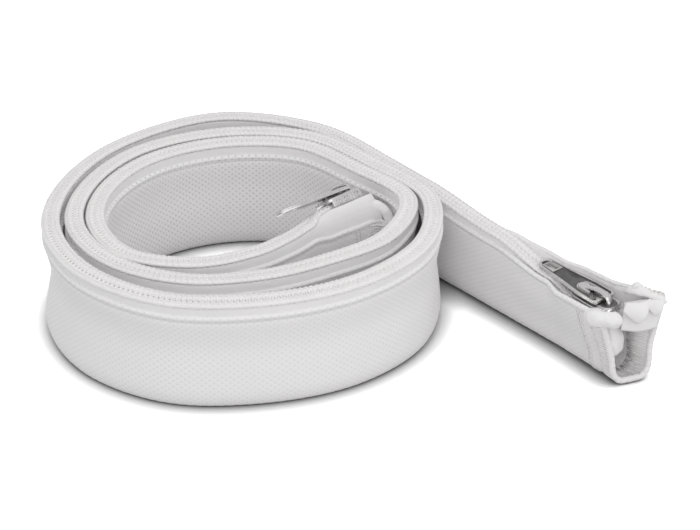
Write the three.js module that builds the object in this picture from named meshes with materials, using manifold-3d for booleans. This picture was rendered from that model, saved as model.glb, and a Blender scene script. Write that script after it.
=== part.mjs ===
// Braided cable sleeve with a coil zip along its top edge, wound on edge with one straight tail.
// Units are millimetres, +Z is up, and +X runs along the tail towards its open mouth.
import * as THREE from "three";
import { mergeVertices } from "three/addons/utils/BufferGeometryUtils.js";
import Module from "manifold-3d";

const wasm = await Module();
wasm.setup();
const { Manifold } = wasm;

// Sizes of the sleeve
const TAIL_LENGTH = 95; // straight run from the coil to the mouth
const TAIL_OFFSET = 52; // distance of the zip line on the tail from the coil's centre
const STAND_HEIGHT = 33; // height of the zip above the floor in the coil
const FABRIC = 0.85; // thickness of the braided wall
const FLOOR_FLAT = 0.8; // half width of the flat that the fold rests on
const GAP = 0.3; // clearance between neighbouring pieces
const EDGE_DROP = 4.2; // height of the zip above the fabric's edge in the coil
const HEM_LENGTH = 9; // folded hem at each mouth
const HEM_EXTRA = 0.35; // how far the folded hem stands out
const MOUTH_SKEW = 0.32; // how far the mouth's outer wall leads its inner wall, per sideways distance
const MOUTH_SKEW_LENGTH = 30; // run over which that lead fades
const BRAID_RELIEF = 0.12; // height of the crossing braid ridges

// Sizes of the zip
const TAPE = 0.42; // thickness of a tape
const COIL_TALL = 1.35; // height of a coil above its tape
const COIL_WIDE = 2.4; // width of one half of the coil
const COIL_STEP = 4.3; // spacing of the sections that form the coil's ribs
const COIL_RIB = 0.3; // how far a rib stands out
const SKIRT_LAP = 1.7; // how far a tape reaches down inside the fabric's edge

// Sizes of a slider and its pull tab
const SLIDER_LONG = 12.4;
const SLIDER_NOSE_HALF = 4.35;
const SLIDER_TAIL_HALF = 3.9;
const SLIDER_PLATE = 1.1;
const BELLY_HALF = 3.1; // half width of the lower plate
const FLANGE = 0.75;
const WEDGE_HALF = 1.15;
const BAIL_WIDE = 2;
const BAIL_GAP = 2.1; // free height under the bail
const BAIL_THICK = 1.1;
const TAB_LONG = 23.2;
const TAB_WIDE = 8;
const TAB_END = 5;
const TAB_THICK = 1.05;
const TAB_BAR = 1.3; // crossbar that sits under the bail
const TAB_SLOT_HALF = 2.1;
const TAB_SLOT_LONG = 11;
const WINDOW_LONG = 3.6;
const WINDOW_HALF = 1.5;
const MOUTH_SLIDER_AT = 2.6; // nose of the slider, back from the mouth
const CORE_SLIDER_AT = 1.6; // nose of the slider, back from the inner end
const TAB_REST_RISE = 2.5; // degrees that a resting tab rises over the closed zip

// Radius of the zip line every 30 degrees, from the tail inwards, over that of the tail
const TURN_RADII = [
  1.000, 1.112, 1.175, 1.085, 1.017, 1.010, 1.008, 0.992, 0.944, 0.962, 1.004, 0.998,
  0.892, 0.954, 0.946, 0.933, 0.896, 0.887, 0.844, 0.779, 0.704, 0.694, 0.806, 0.885,
  0.783, 0.837, 0.823, 0.810, 0.787, 0.777, 0.742, 0.600, 0.454, 0.377,
];
const CORE_END = [[0.335, 0.183], [0.294, 0.35], [0.287, 0.506], [0.279, 0.663]];
const TAIL_STEPS = 4;

// Colours
const WHITE_CLOTH = new THREE.MeshStandardMaterial({ color: 0xe9e9ea, roughness: 0.9, name: "cloth" });
const WHITE_TAPE = new THREE.MeshStandardMaterial({ color: 0xf0f0f0, roughness: 0.8, name: "tape" });
const WHITE_COIL = new THREE.MeshStandardMaterial({ color: 0xf3f3f1, roughness: 0.5, name: "coil" });
const NICKEL = new THREE.MeshStandardMaterial({
  color: 0x9a9a9a, roughness: 0.3, metalness: 1, name: "nickel",
});

// Plan curve of the zip line, from the mouth to the inner end
function planPoints() {
  const pts = [];
  for (let i = 0; i < TAIL_STEPS; i += 1) {
    pts.push(new THREE.Vector3(TAIL_LENGTH * (1 - i / TAIL_STEPS), TAIL_OFFSET, 0));
  }
  TURN_RADII.forEach((ratio, i) => {
    const [r, a] = [ratio * TAIL_OFFSET, Math.PI / 2 + (i * Math.PI) / 6];
    pts.push(new THREE.Vector3(r * Math.cos(a), r * Math.sin(a), 0));
  });
  CORE_END.forEach(([x, y]) => pts.push(new THREE.Vector3(x * TAIL_OFFSET, y * TAIL_OFFSET, 0)));
  return pts;
}
const PLAN = new THREE.CatmullRomCurve3(planPoints(), false, "centripetal");
const LAST = PLAN.points.length - 1;
const PLAN_LENGTHS = (() => {
  const n = LAST * 24;
  const out = [0];
  let last = PLAN.getPoint(0);
  for (let i = 1; i <= n; i += 1) {
    const p = PLAN.getPoint(i / n);
    out.push(out[i - 1] + p.distanceTo(last));
    last = p;
  }
  return out;
})();
const TOTAL = PLAN_LENGTHS[PLAN_LENGTHS.length - 1];

// Station number on the plan curve at a length from the mouth
function stationAt(length) {
  const n = PLAN_LENGTHS.length - 1;
  if (length <= 0) return (length / PLAN_LENGTHS[1]) * (LAST / n);
  let i = PLAN_LENGTHS.findIndex((v) => v > length);
  if (i < 0) i = n;
  const part = (length - PLAN_LENGTHS[i - 1]) / (PLAN_LENGTHS[i] - PLAN_LENGTHS[i - 1]);
  return ((i - 1 + part) * LAST) / n;
}

// Point, travel direction and outward direction at a station
function spot(station) {
  const t = THREE.MathUtils.clamp(station / LAST, 0, 1);
  const p = PLAN.getPoint(t);
  const d = PLAN.getPoint(Math.min(1, t + 1e-4)).sub(PLAN.getPoint(Math.max(0, t - 1e-4))).normalize();
  const [first, final] = [TAIL_LENGTH / TAIL_STEPS, PLAN.points[LAST].distanceTo(PLAN.points[LAST - 1])];
  p.addScaledVector(d, Math.min(0, station) * first + Math.max(0, station - LAST) * final);
  return { p, d, out: new THREE.Vector3(d.y, -d.x, 0) };
}

// Shape of the section along the sleeve: station, sag of the zip, change of the edge's drop, shift of
// the fold, half widths of the fold and the waist, bow, inner and outer hem faces, zip middle, tilt
const SHAPE = [
  [0, 10.7, -5.7, 5, 4.9, 6.6, 0.3, -5.1, 10.8, -0.3, 0],
  [0.06, 10.7, -5.5, 5, 4.85, 6.5, 0.4, -6.4, 9.4, -0.3, 0],
  [0.12, 10.7, -5.3, 5, 4.8, 6.4, 0.5, -6.6, 8.4, -0.3, 0],
  [0.45, 10.7, -4.9, 4.9, 4.6, 6, 0.8, -6.3, 5.7, -0.3, 0],
  [0.72, 10.6, -4.6, 4.9, 4.3, 5.6, 0.9, -6.1, 5.5, -0.3, 0],
  [1.05, 8.6, -2.9, 4.8, 3.8, 4.8, 0.9, -3.9, 3.2, -0.2, 0],
  [2, 4.8, -1, 4.3, 3.2, 3, 0.4, -2.7, 2.5, -0.1, 0],
  [3.3, 2.3, 0, 3.8, 2.7, 1.6, 0, -2.55, 2.55, 0, 0],
  [4.5, 1.5, 0, 3.2, 2.5, 1.35, 0, -2.5, 2.5, 0, 2],
  [6, 0.5, 0, 2.2, 2.5, 1.3, -0.3, -2.5, 2.5, 0, 6],
  [8.7, 0, 0, 1.3, 2.5, 1.3, -0.9, -2.5, 2.5, 0, 16],
  [11.7, 0, 0, -1.5, 2.5, 1.3, 0, -2.5, 2.5, 0, 7],
  [14.7, 0, 0, 0, 2.5, 1.3, 0, -2.5, 2.5, 0, 9],
  [16, 0, 0, 0, 2.5, 1.3, 0, -2.5, 2.5, 0, 0],
  [20.7, 0, 0, 0, 2.5, 1.3, -0.2, -2.5, 2.5, 0, 9],
  [23.7, 0, 0, 0, 2.5, 1.3, 0, -2.5, 2.5, 0, -6],
  [26.7, 0, 0, 0, 2.5, 1.3, 0, -2.5, 2.5, 0, 6],
  [29.7, 0, 0, -1.2, 2.5, 1.3, 0, -2.5, 2.5, 0, 0],
  [32.7, 0, 0, -0.4, 2.5, 1.3, 0, -2.5, 2.5, 0, 6],
  [35.5, 0, 0, 0, 2.6, 1.4, 0, -2.5, 2.5, 0, -5],
  [38, 1.4, 0.2, 0, 3, 2.2, 0, -3.6, 1.8, -0.9, -18],
  [39, 2.4, 1.3, 0.3, 3.6, 4.4, 0, -9.4, 1.9, -3.8, -40],
  [40.8, 2.4, 1.3, 0.4, 3.8, 5, 0, -9.4, 2.4, -3.8, -40],
  [41, 2.4, 1.3, 0.6, 3.8, 5.2, 0, -9.4, 4.4, -3.8, -40],
];

// Zip at a length from either mouth: half gap of the coil, outer edge of the tape and its skirt
const MOUTH_ZIP = [
  [0, 1.4, 2.3, 2.2], [2.8, 1.9, 2.6, 2.5], [4.2, 1.9, 4.05, 3.95], [5.4, 1.6, 4.05, 3.95],
  [11.7, 0.15, 4.05, 3.95], [15.8, 0.15, 4.05, 3.9], [25, 0.15, 2.1, 1.25], [60, 0.15, 2.0, 1.15],
];
const CORE_ZIP = [
  [0, 1.9, 4.6, 4.5], [4.6, 1.6, 4.6, 4.5], [10.9, 0.15, 4.6, 4.5], [15.2, 0.15, 4.6, 4.5],
  [23, 0.15, 2.1, 1.25], [60, 0.15, 2.0, 1.15],
];

function along(rows, key) {
  const n = rows.length - 1;
  if (key <= rows[0][0]) return rows[0].slice(1);
  if (key >= rows[n][0]) return rows[n].slice(1);
  const i = rows.findIndex((row) => row[0] > key);
  const part = (key - rows[i - 1][0]) / (rows[i][0] - rows[i - 1][0]);
  const soft = rows === SHAPE ? part * part * (3 - 2 * part) : part;
  return rows[i].slice(1).map((v, k) => THREE.MathUtils.lerp(rows[i - 1][k + 1], v, soft));
}

function sectionAt(length) {
  const station = stationAt(length);
  const [sag, drop, fold, foldHalf, waistHalf, bow, inner, outer, middle, tilt] = along(SHAPE, station);
  const high = STAND_HEIGHT - sag;
  const isMouth = length < TOTAL / 2;
  const [split, edge, skirt] = isMouth ? along(MOUTH_ZIP, length) : along(CORE_ZIP, TOTAL - length);
  const hem = Math.min(length, TOTAL - length) < HEM_LENGTH ? HEM_EXTRA : 0;
  return {
    length, station, high, top: high - EDGE_DROP - drop,
    fold, foldHalf, waistHalf, bow, inner, outer, middle, tilt, split, edge, skirt, hem,
    skew: MOUTH_SKEW * Math.max(0, 1 - length / MOUTH_SKEW_LENGTH) ** 2,
  };
}

// Point at a section from its sideways and upright distances
function place(section, u, z) {
  const { p, d, out } = spot(section.station);
  return p.clone().addScaledVector(out, u).addScaledVector(d, -section.skew * (u - section.fold)).setZ(z);
}

// Sideways middle of the wall at a height
function spine(s, z) {
  const f = THREE.MathUtils.clamp(z / s.top, 0, 1);
  const top = (s.inner + s.outer) / 2;
  return THREE.MathUtils.lerp(s.fold, top, f) + s.bow * Math.sin(Math.PI * f);
}

// Heights and half widths that outline one side of the folded fabric
function wallOutline(s, relief) {
  const half = (s.outer - s.inner) / 2;
  const wave = s.hem ? 0 : BRAID_RELIEF * relief;
  return [
    [0.031 * s.top, s.foldHalf * 0.66],
    [0.125 * s.top, s.foldHalf + wave + s.hem * 0.6],
    [0.347 * s.top, THREE.MathUtils.lerp(s.foldHalf, s.waistHalf, 0.3) - wave + s.hem],
    [0.642 * s.top, s.waistHalf + wave * 0.5 + s.hem],
    [0.924 * s.top, half + s.hem * 0.5],
    [s.top, half],
  ];
}

function fabricRing(s, index) {
  const outline = wallOutline(s, index % 2 ? 1 : -1);
  const inside = wallOutline(s, 0);
  const ring = [];
  const wall = FABRIC + s.hem;
  const put = (z, w) => ring.push([spine(s, z) + w, z]);
  [...outline].reverse().forEach(([z, w]) => put(z, -w));
  put(0, -FLOOR_FLAT);
  put(0, FLOOR_FLAT);
  outline.forEach(([z, w]) => put(z, w));
  put(s.top, inside[5][1] - FABRIC);
  put(inside[3][0], inside[3][1] + s.hem - wall);
  put(inside[1][0] + 1, inside[1][1] + s.hem * 0.6 - wall);
  put(wall + 0.1, inside[0][1] * 0.3);
  put(wall + 0.1, -inside[0][1] * 0.3);
  put(inside[1][0] + 1, wall - inside[1][1] - s.hem * 0.6);
  put(inside[3][0], wall - inside[3][1] - s.hem);
  put(s.top, FABRIC - inside[5][1]);
  return ring;
}

// Turn a zip point about the middle of the zip by the section's tilt
function tilted(s, side, u, down) {
  const a = THREE.MathUtils.degToRad(-s.tilt);
  const x = side * u;
  const y = -down + 2;
  return [s.middle + x * Math.cos(a) - y * Math.sin(a), s.high - 2 + x * Math.sin(a) + y * Math.cos(a)];
}

function tapeRing(s, side) {
  const top = COIL_TALL + GAP;
  const low = top + TAPE;
  const hem = Math.min(s.top, s.high - low - 0.33);
  const lap = SKIRT_LAP - Math.min(1.1, s.top - hem);
  const hang = (u, down) => {
    const lean = down > 0 ? spine(s, hem - down) - spine(s, hem) : 0;
    return [s.middle + side * u + lean, hem - down];
  };
  return [
    tilted(s, side, s.split, top),
    tilted(s, side, s.edge, top),
    hang(s.skirt, -0.2),
    hang(s.skirt, lap),
    hang(s.skirt - TAPE, lap),
    tilted(s, side, Math.max(s.skirt - 0.45, s.split + 0.1), low),
    tilted(s, side, s.split, low),
  ];
}

// Outlines of the tape ends that are folded over the corners of each mouth: sideways, and up from the zip
const NEAR_FOLD = [
  [-0.9, -3.2], [-2.0, -3.0], [-2.3, 2.1], [-7.1, 2.1], [-7.1, -1.7], [-7.9, -2.0], [-8.7, -0.7],
  [-8.7, 2.2], [-7.6, 3.7], [-4, 3.6], [-1.8, 2], [-0.9, -0.4],
];
const NEAR_LAP = [
  [-7.2, 2.6], [-7.2, -1.7], [-7.9, -2.0], [-8.7, -0.7], [-8.7, 1.9], [-8.0, 3.0],
];
const FAR_FOLD = [
  [1.1, -3], [2.3, -3], [2.6, 1.9], [5.2, 2.2], [8.8, 1.9], [11.2, 1.9], [12.4, 4.9], [11.6, 6.3],
  [10.4, 6], [9.4, 3.7], [8.2, 3.2], [5.2, 3.5], [2.4, 3.2], [1.1, 0.6],
];
const CORE_FOLD = [
  [0.2, -5], [0.2, -1.2], [2.2, -1.4], [5.2, -3.4], [6.5, -5.6], [6.4, -8.8], [5.2, -9.2],
  [5.1, -5],
];

// Soft block along the sleeve with rounded ends, from one length to another
function softBlock(outline, from, to) {
  const mean = (axis) => outline.reduce((sum, q) => sum + q[axis], 0) / outline.length;
  const mid = [mean(0), mean(1)];
  const lengths = [from, from + 0.6, (from + to) / 2, to - 0.6, to];
  const rings = lengths.map((length, i) => {
    const scale = [0.72, 0.96, 1, 0.96, 0.72][i];
    const s = { ...sectionAt(length), skew: 0 };
    const drawn = (value, axis) => mid[axis] + (value - mid[axis]) * scale;
    return outline.map(([u, z]) => place(s, drawn(u, 0), s.high + drawn(z, 1)));
  });
  return solid(loftPoints(rings, outline, outline));
}

function coilRing(s, side, index) {
  const out = s.split + COIL_WIDE * (s.split > 1 ? 0.86 : 1) - (index % 2 ? 0 : COIL_RIB);
  const dip = index % 2 ? 0 : COIL_RIB * 0.8;
  return [
    tilted(s, side, s.split, COIL_TALL),
    tilted(s, side, s.split, 0.35 + dip * 0.5),
    tilted(s, side, (s.split + out) / 2 + 0.2, dip),
    tilted(s, side, out, COIL_TALL * 0.7),
  ];
}

// Closed body through rings of sideways and upright distances
function loft(sections, ringOf) {
  const rings = sections.map((s, i) => ringOf(s, i).map(([u, z]) => place(s, u, z)));
  const lastIndex = sections.length - 1;
  return loftPoints(rings, ringOf(sections[0], 0), ringOf(sections[lastIndex], lastIndex));
}

function loftPoints(rings, firstFlat, lastFlat) {
  const n = rings[0].length;
  const pos = [];
  rings.flat().forEach((v) => pos.push(v.x, v.y, v.z));
  const index = [];
  for (let i = 0; i < rings.length - 1; i += 1) {
    for (let j = 0; j < n; j += 1) {
      const a = i * n + j;
      const b = i * n + ((j + 1) % n);
      index.push(a, b, b + n, a, b + n, a + n);
    }
  }
  const cap = (flat, base, isLast) => {
    const outline = flat.map(([u, z]) => new THREE.Vector2(u, z));
    const flip = isLast !== THREE.ShapeUtils.area(outline) > 0;
    THREE.ShapeUtils.triangulateShape(outline, []).forEach(([a, b, c]) => {
      index.push(base + a, base + (flip ? c : b), base + (flip ? b : c));
    });
  };
  cap(firstFlat, 0, false);
  cap(lastFlat, (rings.length - 1) * n, true);
  const g = new THREE.BufferGeometry();
  g.setAttribute("position", new THREE.Float32BufferAttribute(pos, 3));
  g.setIndex(index);
  return upright(g);
}

// Give a closed body outward faces
function upright(g) {
  const p = g.attributes.position;
  const ix = g.index.array;
  let volume = 0;
  const [a, b, c] = [new THREE.Vector3(), new THREE.Vector3(), new THREE.Vector3()];
  for (let i = 0; i < ix.length; i += 3) {
    a.fromBufferAttribute(p, ix[i]);
    b.fromBufferAttribute(p, ix[i + 1]);
    c.fromBufferAttribute(p, ix[i + 2]);
    volume += a.dot(b.cross(c));
  }
  if (volume < 0) {
    const turned = Array.from(ix);
    for (let i = 0; i < turned.length; i += 3) [turned[i + 1], turned[i + 2]] = [turned[i + 2], turned[i + 1]];
    g.setIndex(turned);
  }
  return g;
}

// Boolean helpers
function solid(geometry) {
  const g = geometry.clone();
  g.deleteAttribute("normal");
  g.deleteAttribute("uv");
  const m = mergeVertices(g, 1e-4);
  return new Manifold(new wasm.Mesh({
    numProp: 3,
    vertProperties: new Float32Array(m.attributes.position.array),
    triVerts: new Uint32Array(m.index.array),
  }));
}

function back(body) {
  const mesh = body.getMesh();
  const g = new THREE.BufferGeometry();
  g.setAttribute("position", new THREE.Float32BufferAttribute(Array.from(mesh.vertProperties), 3));
  g.setIndex(Array.from(mesh.triVerts));
  return g;
}
const join = (...bodies) => bodies.reduce((a, b) => a.add(b));

// Upright prism from a plan outline
function prism(points, low, high) {
  const shape = new THREE.Shape(points.map(([x, y]) => new THREE.Vector2(x, y)));
  const g = new THREE.ExtrudeGeometry(shape, { depth: high - low, bevelEnabled: false });
  g.translate(0, 0, low);
  return solid(g);
}

// Prism across the zip from an outline seen from its side
function sidePrism(points, half) {
  const shape = new THREE.Shape(points.map(([x, z]) => new THREE.Vector2(x, z)));
  const g = new THREE.ExtrudeGeometry(shape, { depth: half * 2, bevelEnabled: false });
  g.rotateX(Math.PI / 2);
  g.translate(0, half, 0);
  return solid(g);
}

// Lengths at which the fabric and tapes take a section
function mainLengths() {
  const out = [0, 1.3, 2.8, 4.2, HEM_LENGTH - 0.05, HEM_LENGTH + 0.25, 12.5, 16, 20, 25, 36, 48, 63, 78];
  const first = PLAN_LENGTHS[TAIL_STEPS * 24];
  const end = [46, 33, 25, 20.5, 16.5, 13.8, HEM_LENGTH + 0.25, HEM_LENGTH - 0.05, 6, 3, 0];
  const lastCoil = TOTAL - 56;
  const step = 10.6;
  const count = Math.round((lastCoil - first) / step);
  for (let i = 0; i <= count; i += 1) out.push(first + ((lastCoil - first) * i) / count);
  end.forEach((v) => out.push(TOTAL - v));
  return out;
}

function coilLengths() {
  const start = MOUTH_SLIDER_AT + 2.2;
  const finish = TOTAL - CORE_SLIDER_AT - 2.2;
  const count = Math.round((finish - start) / COIL_STEP);
  return Array.from({ length: count + 1 }, (_, i) => start + ((finish - start) * i) / count);
}

// Slider body in its own frame: nose at the origin, closed zip towards -X, zip top at height 0
function sliderBody() {
  const L = SLIDER_LONG;
  const N = SLIDER_NOSE_HALF;
  const T = SLIDER_TAIL_HALF;
  const plan = (grow) => [
    [0, -N * 0.62 - grow], [-1.5, -N - grow], [-6, -N - grow], [-L + 1, -T - grow], [-L, -T * 0.72 - grow],
    [-L, T * 0.72 + grow], [-L + 1, T + grow], [-6, N + grow], [-1.5, N + grow], [0, N * 0.62 + grow],
  ];
  const top = prism(plan(0), GAP, GAP + SLIDER_PLATE);
  const skirt = prism(plan(0), -COIL_TALL, GAP + 0.2).subtract(prism([
    [1, -N + FLANGE], [-6, -N + FLANGE], [-L - 1, -T + FLANGE],
    [-L - 1, T - FLANGE], [-6, N - FLANGE], [1, N - FLANGE],
  ], -COIL_TALL - 1, GAP + 0.1));
  const low = -(COIL_TALL + GAP + TAPE + GAP);
  const belly = prism([
    [-0.4, -BELLY_HALF * 0.6], [-1.6, -BELLY_HALF], [-L + 0.4, -BELLY_HALF], [-L, -BELLY_HALF * 0.7],
    [-L, BELLY_HALF * 0.7], [-L + 0.4, BELLY_HALF], [-1.6, BELLY_HALF], [-0.4, BELLY_HALF * 0.6],
  ], low - 1, low);
  const wedge = prism([
    [-0.9, 0], [-1.6, -WEDGE_HALF], [-2.6, -WEDGE_HALF], [-5.6, 0], [-2.6, WEDGE_HALF], [-1.6, WEDGE_HALF],
  ], low - 0.5, GAP + 0.5);
  const z0 = GAP + SLIDER_PLATE;
  const zu = z0 + BAIL_GAP;
  const zt = zu + BAIL_THICK;
  const bail = sidePrism([
    [-0.7, z0 - 0.3], [-0.9, z0 + 1.2], [-2.2, zt - 0.6], [-4.6, zt], [-7.6, zt - 0.1],
    [-10.4, zt - 1.2], [-11.6, z0 - 0.3], [-10.3, z0 - 0.3], [-9.4, z0 + 1.4], [-7.4, zu - 0.2],
    [-4.6, zu], [-2.9, zu - 0.25], [-2.1, z0 + 0.9], [-2.0, z0 - 0.3],
  ], BAIL_WIDE / 2);
  return join(top, skirt, belly, wedge, bail);
}

// Pull tab in its own frame: crossbar on the origin's axis, free end towards -X
function pullTab() {
  const t = TAB_THICK / 2;
  const w = TAB_WIDE / 2;
  const plate = prism([
    [TAB_BAR / 2, -w + 0.9], [TAB_BAR / 2 - 0.7, -w], [-6, -w], [-12.5, -w + 0.8],
    [-TAB_LONG + 1.6, -TAB_END / 2], [-TAB_LONG, -TAB_END / 2 + 1.2],
    [-TAB_LONG, TAB_END / 2 - 1.2], [-TAB_LONG + 1.6, TAB_END / 2],
    [-12.5, w - 0.8], [-6, w], [TAB_BAR / 2 - 0.7, w], [TAB_BAR / 2, w - 0.9],
  ], -t, t);
  const slotEnd = -TAB_BAR / 2 - TAB_SLOT_LONG;
  const s = TAB_SLOT_HALF;
  const slot = prism([
    [-TAB_BAR / 2, -s], [slotEnd + 1.6, -s * 0.8], [slotEnd + 0.4, -s * 0.5], [slotEnd, 0],
    [slotEnd + 0.4, s * 0.5], [slotEnd + 1.6, s * 0.8], [-TAB_BAR / 2, s],
  ], -2, 2);
  const farEnd = -TAB_LONG + 2.2;
  const window = prism([
    [farEnd, -WINDOW_HALF * 0.8], [farEnd + WINDOW_LONG, -WINDOW_HALF], [farEnd + WINDOW_LONG, WINDOW_HALF],
    [farEnd, WINDOW_HALF * 0.8],
  ], -2, 2);
  return plate.subtract(slot).subtract(window);
}

// Carry a body from the slider's frame to its place on the zip
function seatMatrix(length, towards) {
  const s = sectionAt(length);
  const { p, d, out } = spot(s.station);
  const x = d.clone().multiplyScalar(towards);
  const y = new THREE.Vector3(0, 0, 1).cross(x);
  const turn = THREE.MathUtils.degToRad(-s.tilt) * Math.sign(y.dot(out));
  const roll = new THREE.Matrix4().makeTranslation(0, 0, -2)
    .multiply(new THREE.Matrix4().makeRotationX(turn))
    .multiply(new THREE.Matrix4().makeTranslation(0, 0, 2));
  const m = new THREE.Matrix4().makeBasis(x, y, new THREE.Vector3(0, 0, 1));
  m.setPosition(p.clone().addScaledVector(out, s.middle).setZ(s.high));
  return m.multiply(roll);
}

function seat(geometry, length, towards) {
  return geometry.clone().applyMatrix4(seatMatrix(length, towards));
}

const HINGE_X = -3.7;
const HINGE_Z = GAP + SLIDER_PLATE + BAIL_GAP / 2;

function tabGeometry(turn) {
  const g = back(pullTab());
  g.rotateY(THREE.MathUtils.degToRad(turn));
  g.translate(HINGE_X, 0, HINGE_Z);
  return g;
}

// Bead of binding thread around the fabric's open end
function bindingGeometry(length, ahead) {
  const s = sectionAt(length);
  const ring = fabricRing(s, 0);
  const outer = ring.slice(0, 14);
  const inner = [21, 21, 20, 19, 19, 18, 18, 17, 17, 16, 16, 15, 14, 14].map((i) => ring[i]);
  const mids = outer.map(([u, z], i) => [(u + inner[i][0]) / 2, (z + inner[i][1]) / 2]);
  const apart = (a, b) => Math.hypot(a[0] - b[0], a[1] - b[1]);
  const path = mids.filter((m, i) => i === 0 || apart(m, mids[i - 1]) > 0.8);
  const { d } = spot(s.station);
  const half = (FABRIC + s.hem) / 2;
  const rings = path.map(([u, z], i) => {
    const a = path[Math.max(0, i - 1)];
    const b = path[Math.min(path.length - 1, i + 1)];
    const along2 = new THREE.Vector2(b[0] - a[0], b[1] - a[1]).normalize();
    const side = new THREE.Vector2(along2.y, -along2.x);
    return [[-1, 0.3], [-0.75, 1.05], [0, 1.3], [0.75, 1.05], [1, 0.3]].map(([k, f]) => {
      const q = [u + side.x * half * k, Math.max(z + side.y * half * k, 0)];
      return place(s, q[0], q[1]).addScaledVector(d, ahead * f);
    });
  });
  const flat = [[-1, 0.3], [-0.75, 1.05], [0, 1.3], [0.75, 1.05], [1, 0.3]];
  return loftPoints(rings, flat, flat);
}

const main = mainLengths().map(sectionAt);
const straight = main.map((s) => ({ ...s, skew: 0 }));
const coil = coilLengths().map((length) => ({ ...sectionAt(length), skew: 0 }));
const sleeve = new THREE.Group();
sleeve.name = "braided_zip_sleeve";
function add(name, geometry, material) {
  geometry.computeVertexNormals();
  const mesh = new THREE.Mesh(geometry, material);
  mesh.name = name;
  sleeve.add(mesh);
}

const slider = back(sliderBody());
add("sleeve_fabric", loft(main, fabricRing), WHITE_CLOTH);
const innerTape = solid(loft(straight, (s) => tapeRing(s, -1)));
const outerTape = solid(loft(straight, (s) => tapeRing(s, 1)));
const nearFold = join(softBlock(NEAR_FOLD, -1.6, 2.2), softBlock(NEAR_LAP, -1, 8));
const farFold = softBlock(FAR_FOLD, -3.4, 2.2);
const coreFold = softBlock(CORE_FOLD, TOTAL - 1.2, TOTAL + 1.8);
add("inner_zip_tape", back(join(innerTape, nearFold)), WHITE_TAPE);
add("outer_zip_tape", back(join(outerTape, farFold, coreFold)), WHITE_TAPE);
add("inner_zip_coil", loft(coil, (s, i) => coilRing(s, -1, i)), WHITE_COIL);
add("outer_zip_coil", loft(coil, (s, i) => coilRing(s, 1, i)), WHITE_COIL);
add("mouth_slider_body", seat(slider, MOUTH_SLIDER_AT, -1), NICKEL);
add("mouth_pull_tab", seat(tabGeometry(TAB_REST_RISE), MOUTH_SLIDER_AT, -1), NICKEL);
add("core_slider_body", seat(slider, TOTAL - CORE_SLIDER_AT, 1), NICKEL);
add("core_pull_tab", seat(tabGeometry(TAB_REST_RISE), TOTAL - CORE_SLIDER_AT, 1), NICKEL);
add("mouth_hem_binding", bindingGeometry(0, -1), WHITE_TAPE);
add("core_hem_binding", bindingGeometry(TOTAL, 1), WHITE_TAPE);

// Origin at the centre of the footprint
const box = new THREE.Box3().setFromObject(sleeve);
const mid = box.getCenter(new THREE.Vector3());
sleeve.children.forEach((mesh) => mesh.geometry.translate(-mid.x, -mid.y, -box.min.z));

export default sleeve;
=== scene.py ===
"""Braided zip sleeve wound on edge with one straight tail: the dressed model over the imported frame."""

import logging
import math
from bisect import bisect_right
from dataclasses import dataclass, field
from enum import Enum
from typing import Callable, Optional, Sequence

import bmesh
import bpy
from mathutils import Matrix, Vector, noise


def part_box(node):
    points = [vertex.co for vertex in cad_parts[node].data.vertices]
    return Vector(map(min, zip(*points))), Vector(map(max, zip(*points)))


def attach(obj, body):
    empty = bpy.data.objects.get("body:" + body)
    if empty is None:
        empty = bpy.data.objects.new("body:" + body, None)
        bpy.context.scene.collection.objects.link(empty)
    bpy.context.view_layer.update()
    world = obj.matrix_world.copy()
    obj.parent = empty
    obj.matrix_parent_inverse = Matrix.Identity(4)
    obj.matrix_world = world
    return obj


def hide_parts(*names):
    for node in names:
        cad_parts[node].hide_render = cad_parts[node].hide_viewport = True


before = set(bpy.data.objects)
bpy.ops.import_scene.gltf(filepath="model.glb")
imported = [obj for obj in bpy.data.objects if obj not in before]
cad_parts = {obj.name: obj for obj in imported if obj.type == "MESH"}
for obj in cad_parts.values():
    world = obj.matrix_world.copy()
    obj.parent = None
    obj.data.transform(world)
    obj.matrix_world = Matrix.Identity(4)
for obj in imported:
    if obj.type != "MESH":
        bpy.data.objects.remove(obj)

LOG = logging.getLogger("braided_zip_sleeve")
MM = 0.001
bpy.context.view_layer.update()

Flat = tuple[float, float]


class Side(Enum):
    """Half of the sleeve, seen from the coil's centre."""

    INNER = -1
    OUTER = 1


class End(Enum):
    """Open end of the sleeve, with the way that its slider's nose points along the run."""

    MOUTH = -1
    CORE = 1


class Slot(Enum):
    """Material slots of the record."""

    CLOTH = "braided_cloth"
    TAPE = "woven_tape"
    COIL = "nylon_coil"
    NICKEL = "nickel"
    THREAD = "thread"


# Radius of the zip line every 30 degrees, from the tail inwards, over that of the tail
TURN_RADII: tuple[float, ...] = (
    1.000, 1.112, 1.175, 1.085, 1.017, 1.010, 1.008, 0.992, 0.944, 0.962, 1.004, 0.998,
    0.892, 0.954, 0.946, 0.933, 0.896, 0.887, 0.844, 0.779, 0.704, 0.694, 0.806, 0.885,
    0.783, 0.837, 0.823, 0.810, 0.787, 0.777, 0.742, 0.600, 0.454, 0.377,
)
CORE_RUN: tuple[Flat, ...] = ((0.335, 0.183), (0.294, 0.35), (0.287, 0.506), (0.279, 0.663))

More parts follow.
